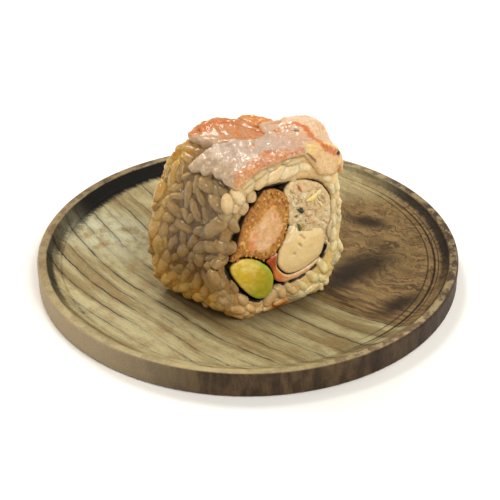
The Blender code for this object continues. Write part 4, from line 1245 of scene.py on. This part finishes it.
def salad():
    """The chopped seafood salad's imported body; its shreds and bits lie on it."""
    made = filling("salad_packed", SEAFOOD_SALAD, 0.1, 0.26, 1, 0.8)
    places, _ = points_of(made)
    roll = to_roll(places)
    lumps = 0.2 * noise(roll, (1.5, 2.4, 1.5), 61, 2) + 0.12 * noise(roll, 0.6, 62, 2)
    relief(made, lumps)
    tones = np.tile(rgb(214, 184, 134), (len(places), 1))
    tones = blended(tones, smooth(noise(roll, 1.3, 63, 2), 0.0, 0.5) * 0.6, rgb(236, 216, 180))
    tones = blended(tones, smooth(noise(roll, 0.9, 64, 2), 0.2, 0.6) * 0.4, rgb(190, 148, 92))
    paint(made, painted_shade_in_gaps(tones, roll))
    material = food("salad_packed", 0.42, 0.35, 0.3, 0.8, 0.1, coat=0.3)
    return dress(made, material, "seafood_salad", "seafood_salad")


def shred(rng, centre, turn, length, width):
    """A short flat shred lying on the cut, bent and tapered."""
    steps = 7
    sides = 6
    along = np.array([math.cos(turn), 0.0, math.sin(turn)])
    across = np.array([-math.sin(turn), 0.0, math.cos(turn)])
    curl = rng.uniform(-0.25, 0.25) * length
    lift = rng.uniform(0.0, 0.2)
    loops = []
    for k in range(steps):
        x = k / (steps - 1) * 2 - 1
        raised = np.array([0, lift * (1 - x * x), 0])
        middle = centre + along * x * length / 2 + across * curl * x * x - raised
        thick = width / 2 * math.sqrt(max(0.12, 1 - x * x * 0.9))
        ring = []
        for i in range(sides):
            a = 2 * math.pi * i / sides
            ring.append(middle + across * math.cos(a) * thick + np.array([0, math.sin(a) * thick * 0.6, 0]))
        loops.append(to_world(np.array(ring)))
    return bridged(loops)


SHRED_COUNT = 130
SHRED_TONES = [rgb(226, 196, 148), rgb(218, 186, 134), rgb(234, 212, 174), rgb(204, 168, 112)]


def shreds():
    """Whitish shreds of fish and crab all over the salad's cut face."""
    rng = random.Random(65)
    outline = offset_loop(even_loop(SEAFOOD_SALAD, 90), -0.35)
    parts = []
    tones = []
    while len(parts) < SHRED_COUNT:
        u, z = rng.uniform(5, 17.5), rng.uniform(14, 34)
        if not inside(np.array([[u, z]]), outline)[0]:
            continue
        centre = np.array([u, 0.28 + rng.uniform(-0.1, 0.15), z])
        turn = rng.gauss(math.radians(-50), 0.7)
        part = shred(rng, centre, turn, rng.uniform(1.0, 2.4), rng.uniform(0.45, 1.0))
        tone = np.array(rng.choice(SHRED_TONES))
        parts.append(part)
        tones += [tone * rng.uniform(0.9, 1.05)] * len(part[0])
    made = mesh_object("salad_shreds", *joined(parts))
    paint(made, np.array(tones))
    material = food("salad_shreds", 0.36, 0.4, 0.15, 0.6, 0.04, coat=0.4, reach=0.8)
    return dress(made, material, "seafood_salad")


# Coloured bits in the salad: u, z, length, width, angle and colour.
SALAD_BITS = [
    (8.9, 26.3, 2.0, 1.2, -50, rgb(38, 44, 18)), (9.5, 25.7, 0.9, 0.6, 20, rgb(60, 84, 30)),
    (8.5, 21.8, 2.2, 0.7, -75, rgb(82, 96, 20)), (8.9, 21.0, 1.1, 0.6, 70, rgb(110, 116, 34)),
    (9.6, 20.9, 1.4, 1.0, 30, rgb(186, 146, 70)), (7.6, 25.0, 0.7, 0.5, 0, rgb(92, 84, 40)),
    (12.2, 28.6, 3.6, 1.5, 25, rgb(236, 210, 128)), (13.6, 29.6, 2.2, 1.4, 40, rgb(232, 216, 160)),
    (8.3, 32.4, 1.8, 0.6, -60, rgb(190, 92, 36)), (8.9, 31.4, 1.0, 0.4, -50, rgb(206, 120, 60)),
    (11.2, 24.0, 2.4, 0.4, -15, rgb(206, 130, 66)), (12.9, 21.6, 1.0, 0.5, 40, rgb(222, 158, 74)),
    (13.2, 24.8, 1.2, 0.4, -30, rgb(196, 138, 76)), (10.4, 22.8, 1.0, 0.4, -60, rgb(170, 116, 58)),
    (15.3, 28.0, 1.6, 0.5, -55, rgb(190, 146, 84)), (14.6, 26.2, 2.4, 0.6, -60, rgb(240, 214, 150)),
    (17.1, 18.0, 5.6, 1.3, 88, rgb(206, 182, 142)), (17.2, 13.4, 3.6, 1.0, 84, rgb(214, 190, 146))]


def bits():
    rng = random.Random(66)
    parts = []
    tones = []
    for u, z, length, width, angle, colour in SALAD_BITS:
        part = shred(rng, np.array([u, -0.12, z]), math.radians(angle), length, width)
        parts.append(part)
        tones += [colour] * len(part[0])
    made = mesh_object("salad_herbs_and_bits", *joined(parts))
    paint(made, np.array(tones))
    return dress(made, food("salad_bits", 0.35, 0.15, 0.3, 0.4, 0.05, coat=0.4, reach=0.5), "seafood_salad")


# Prawn toppings

# Where the orange band of the front prawn ends, above the cut (u, s).
BAND_EDGE = [(-11.5, 0.8), (-8.5, 1.8), (-4.8, 1.8), (-1.5, 2.6), (0.7, 2.2), (4.1, 1.8), (6.0, 0.8), (9.4, -0.2)]
# Marks on the prawn: lines and spots as (u, s, z), or (u, s) seen from above.
HUMP_STRIPE = [(14.8, 8.6, 44.7), (15.3, 5.9, 44.1), (14.2, 2.7, 43.0), (14.2, -0.6, 42.1), (16.1, -0.8, 40.6),
               (18.4, -0.8, 39.2)]
HUMP_PATCHES = [((13.1, 12.6), 1.4, 0.8), ((10.0, 9.4), 1.2, 0.85), ((12.6, 9.0), 2.2, 0.62)]
HUMP_NICK = [(13.0, 7.2, 44.0), (13.4, 6.2, 43.8)]
FOLD_CRACK = [(9.6, -0.8, 41.3), (11.0, -0.8, 39.8), (12.0, -0.8, 38.6)]
YELLOW_BLOB = (10.7, -0.7, 42.1)
EDGE_DOT = (18.4, -0.8, 39.2)
BACK_RIDGE = [(3.6, 19.8), (5.2, 18.6), (6.8, 16.6), (7.2, 13.6), (7.5, 11.0)]
BACK_CREST = [(-3.4, 21.2), (-0.9, 21.2), (2.3, 21.6), (4.5, 20.9), (5.2, 19.6)]
BACK_PALE_EDGE = [(-4.0, 21.0), (-2.6, 17.5), (-2.6, 13.0), (-2.0, 9.0)]


def meeting(places, *nodes):
    """1 on a topping where it comes close to its neighbours, falling to 0 away from them."""
    trees = [tree_of(node) for node in nodes]
    gaps = [min(tree.find_nearest(Vector(place))[3] for tree in trees) / MM for place in places]
    return smooth(gaps, 2.4, 0.6)


def fine_copy(name, node, voxel, rounds):
    """An even fine mesh of a solid, of the same form."""
    made = bpy.data.objects.new(name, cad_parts[node].data.copy())
    bpy.context.scene.collection.objects.link(made)
    return melted(made, voxel, rounds)


def prawn_flesh(name, reach=1.6):
    """Wet prawn: pale flesh whose skin is brushed and speckled orange where it is marked."""
    shader = Shader(
        name, 0.3, Subsurface_Weight=0.4, Subsurface_Radius=(1.0, 0.62, 0.45), Subsurface_Scale=reach * MM,
        Coat_Weight=0.6, Coat_Roughness=0.1, Specular_IOR_Level=0.35)
    place = shader.place()
    speckle = shader.noise(place, 2.3, 3.0, 0.75)
    brush = shader.noise(shader.vector("MULTIPLY", place, (0.9, 2.6, 1.2)), 0.9, 4.0, 0.6)
    blush = shader.attribute("blush", "Fac")
    dots = shader.times(shader.math("SUBTRACT", speckle, 0.5), 2.4, shader.step(blush, 0.05, 0.4))
    share = shader.step(shader.math("ADD", blush, dots), 0.2, 0.8)
    orange = shader.mix(shader.step(brush, 0.35, 0.65), rgb(190, 98, 28), rgb(210, 134, 60))
    orange = shader.mix(shader.step(blush, 0.75, 1.0), orange, rgb(188, 84, 22))
    tone = shader.mix(0.2, shader.attribute("tone"), shader.step(brush, 0.3, 0.7, 0.3, 1.3), "MULTIPLY")
    colour = shader.mix(shader.times(share, 0.88), tone, orange)
    normal = shader.bump(brush, 0.25)
    normal = shader.bump(speckle, 0.07, 1.0, normal)
    return shader.finish(colour, normal, shader.step(speckle, 0.35, 0.7, 0.2, 0.42))


def front_topping(material):
    """White ragged lobes at the left, an orange band over the cut, the speckled hump at the right."""
    made = fine_copy("prawn_over_front", "prawn_topping_front", 0.28, 2)
    places, normals = points_of(made)
    roll = to_roll(places)
    u, s, z = roll.T
    up = smooth(normals[:, 2] + 0.6 * (normals @ FACE_OUT), 0.1, 0.6)
    turned = roll @ np.array([[1, 0.7, 0], [-0.7, 1, 0], [0, 0, 1]])
    fibres = noise(turned, (0.7, 4.0, 1.0), 71, 2)
    lobes = noise(turned, (2.0, 5.0, 2.0), 72, 2)
    crack = smooth(line_distance(roll, FOLD_CRACK), 0.4, 0.1)
    nick = smooth(line_distance(roll, HUMP_NICK), 0.45, 0.15)
    joint = meeting(places, "prawn_topping_back", "prawn_topping_rear")
    high = smooth(z, 44.5, 45.2)
    relief(made, (0.15 + up * (0.25 * fibres + 0.6 * lobes * smooth(u, 13, 6) + 0.14 * noise(roll, 0.7, 77, 2))
                  - 0.5 * crack - 0.4 * nick + joint * 0.8) * (1 - high))
    tones = np.tile(rgb(206, 180, 160), (len(places), 1))
    tones = blended(tones, smooth(fibres, 0.0, 0.5) * 0.6, rgb(184, 152, 126))
    tones = blended(tones, smooth(lobes, 0.1, 0.5) * 0.6, rgb(222, 204, 184))
    tones = blended(tones, smooth(u, 3, 10) * 0.6, rgb(210, 166, 134))
    tones = blended(tones, smooth(u, 12.5, 16.0) * 0.8, rgb(226, 190, 152))
    tones = blended(tones, smooth(fibres, 0.1, 0.5) * smooth(u, 11, 14) * 0.5, rgb(208, 160, 116))
    clouds = smooth(noise(roll, 2.0, 78, 2), 0.05, 0.5) * smooth(u, 7, 11)
    tones = blended(tones, clouds * 0.6, rgb(228, 176, 126))
    tones = blended(tones, smooth(z, 43.4, 44.6) * smooth(u, 9, 12) * 0.5, rgb(232, 208, 184))
    tones = blended(tones, smooth(u, -4, -10) * 0.7, rgb(178, 152, 112))
    under = smooth(s, 1.0, -0.4) * smooth(z, 42.6, 41.6)
    tones = blended(tones, under * 0.7, rgb(224, 190, 136))
    tones *= (1 - 0.09 * smooth(u, -6, -3) * smooth(u, 13, 10))[:, None]
    fold = smooth(s, 1.8, 0.4) * smooth(u, 8.8, 11.0)
    tones = blended(tones, fold * 0.8, rgb(228, 190, 134))
    tones = blended(tones, fold * smooth(noise(roll, 1.6, 79, 3), 0.0, 0.5) * 0.6, rgb(216, 160, 96))
    blob = smooth(np.linalg.norm(roll - YELLOW_BLOB, axis=1), 2.0, 1.1)
    tones = blended(tones, blob * 0.8, rgb(228, 196, 130))
    # Painted shade in the crack and the nick.
    tones = blended(tones, np.maximum(crack, nick) * 0.7, rgb(96, 70, 44))
    dot = smooth(np.linalg.norm(roll - EDGE_DOT, axis=1), 0.75, 0.4)
    tones = blended(tones, dot, rgb(24, 20, 14))
    band_top = np.interp(u, *np.array(BAND_EDGE).T)
    reach = band_top - s + 0.8 * noise(roll, 1.3, 74, 3)
    edge_line = smooth(np.abs(s + 0.55), 0.5, 0.1) * smooth(u, -9, -5) * smooth(u, 7.0, 3.0)
    band = smooth(reach, -0.6, 1.0) * smooth(u, 10.2, 8.4) * smooth(u, -12, -9) * 0.56
    band = np.maximum(band, edge_line * 0.7)
    stroke = smooth(line_distance(roll, [(-0.5, 1.0, 42.7), (2.0, 2.6, 43.2)]), 1.2, 0.3)
    stripe = smooth(line_distance(roll, HUMP_STRIPE) + 0.4 * noise(roll, 0.9, 75, 2), 1.4, 0.3)
    red_dot = smooth(np.hypot(u - 1.1, s - 6.6), 0.9, 0.3)
    blush = np.maximum.reduce([band, stroke * 0.85, stripe * 0.9, red_dot * 0.8])
    for spot, size, amount in HUMP_PATCHES:
        near = smooth(np.hypot(u - spot[0], s - spot[1]) + 0.6 * noise(roll, 1.1, 76), size, size * 0.3)
        blush = np.maximum(blush, near * amount)
    paint(made, tones)
    mark(made, blush * up * (1 - dot) * (1 - blob), "blush")
    return dress(made, material, "prawn_topping_front", "prawn_topping_front")


def back_topping(material):
    """Orange strokes along the prawn, a red ridge line on top, and a whitish lower edge."""
    made = fine_copy("prawn_over_back", "prawn_topping_back", 0.26, 2)
    places, normals = points_of(made)
    roll = to_roll(places)
    flat = roll[:, :2]
    up = smooth(normals[:, 2], -0.2, 0.5)
    along = roll @ np.array([[1, 0.5, 0], [-0.5, 1, 0], [0, 0, 1]])
    strokes = noise(along, (0.8, 5.0, 1.2), 83, 3)
    ridge = smooth(line_distance(flat, BACK_RIDGE), 0.55, 0.2)
    rough = smooth(line_distance(flat, BACK_CREST), 2.8, 0.8)
    joint = meeting(places, "prawn_topping_front", "prawn_topping_rear")
    relief(made, 0.2 + up * (0.22 * strokes + 0.35 * noise(along, (2.0, 5.0, 2.0), 81, 2) - 0.25 * ridge
                             + rough * 0.6 * noise(roll, 1.1, 82, 2)) + joint * 0.9)
    tones = np.tile(rgb(190, 134, 90), (len(places), 1))
    pale = smooth(line_distance(flat, BACK_PALE_EDGE) + 0.7 * noise(roll, 1.2, 84, 2), 2.6, 0.8)
    tones = blended(tones, pale * 0.85, rgb(194, 166, 136))
    blush = 0.36 + 0.7 * strokes
    blush = np.maximum(blush, rough * 0.85) * (1 - 0.9 * pale)
    streak = smooth(line_distance(flat, [(-4.6, 19.0), (-4.8, 15.0), (-4.4, 11.5)]), 0.9, 0.2)
    paint(made, tones)
    mark(made, np.maximum.reduce([blush, ridge, streak * 0.5]) * up, "blush")
    return dress(made, material, "prawn_topping_back", "prawn_topping_back")


def rear_topping(material):
    made = fine_copy("prawn_over_rear", "prawn_topping_rear", 0.26, 2)
    places, normals = points_of(made)
    roll = to_roll(places)
    joint = meeting(places, "prawn_topping_front", "prawn_topping_back")
    relief(made, 0.1 + 0.5 * noise(roll, 1.3, 91, 3) + joint * 0.7)
    paint(made, np.tile(rgb(218, 152, 84), (len(places), 1)))
    mark(made, 0.45 + 0.6 * noise(roll, 1.0, 92, 2), "blush")
    return dress(made, material, "prawn_topping_rear", "prawn_topping_rear")


# Studio

def floor():
    bpy.ops.mesh.primitive_plane_add(size=6.0, location=(0, 0, -0.00005))
    made = bpy.context.object
    made.name = "studio_floor"
    shader = Shader("studio_floor", 0.8)
    made.data.materials.append(shader.finish((0.93, 0.93, 0.93)))


def area_light(name, azimuth, elevation, distance, size, power, colour):
    """A soft square light aimed at the roll; azimuth 0 is the camera's side and 90 the right."""
    light = bpy.data.lights.new(name, "AREA")
    light.size = size
    light.energy = power
    light.color = colour
    made = bpy.data.objects.new(name, light)
    bpy.context.scene.collection.objects.link(made)
    a, e = math.radians(azimuth), math.radians(elevation)
    back = Vector((math.sin(a) * math.cos(e), -math.cos(a) * math.cos(e), math.sin(e)))
    made.location = Vector((0, 0, 0.02)) + back * distance
    made.rotation_euler = (-back).to_track_quat("-Z", "Y").to_euler()


def lights():
    world = bpy.data.worlds.new("studio")
    bpy.context.scene.world = world
    world.use_nodes = True
    background = world.node_tree.nodes["Background"]
    background.inputs["Color"].default_value = (1.0, 0.97, 0.93, 1.0)
    background.inputs["Strength"].default_value = 0.24
    area_light("key", 36, 50, 0.9, 0.42, 6.2, (1.0, 0.96, 0.88))
    area_light("back", -150, 56, 0.9, 0.3, 4.4, (1.0, 0.97, 0.92))
    area_light("rim", -115, 18, 0.8, 0.25, 1.4, (1.0, 0.8, 0.45))
    area_light("right", 125, 34, 0.9, 0.4, 1.8, (1.0, 0.9, 0.7))
    area_light("glints", -80, 20, 0.7, 0.07, 0.45, (1.0, 0.95, 0.86))


def camera():
    lens = bpy.data.cameras.new("photo_view")
    lens.sensor_width = SENSOR
    lens.lens = SENSOR * VIEW_FOCAL_PIXELS / VIEW_PIXELS
    lens.clip_start = 0.01
    lens.clip_end = 20.0
    made = bpy.data.objects.new("photo_view", lens)
    bpy.context.scene.collection.objects.link(made)
    back = Vector((0.0, -math.cos(VIEW_ELEVATION), math.sin(VIEW_ELEVATION)))
    made.location = VIEW_TARGET + back * VIEW_DISTANCE
    made.rotation_euler = (-back).to_track_quat("-Z", "Y").to_euler()
    bpy.context.scene.camera = made


def main():
    bpy.context.scene.view_settings.view_transform = "Standard"
    camera()
    floor()
    lights()
    board()
    rice()
    nori()
    fried_prawn()
    crumbs()
    avocado()
    crab_wrap()
    crab_core()
    salad()
    shreds()
    bits()
    flesh = prawn_flesh("prawn_flesh")
    front_topping(flesh)
    back_topping(flesh)
    rear_topping(flesh)


main()
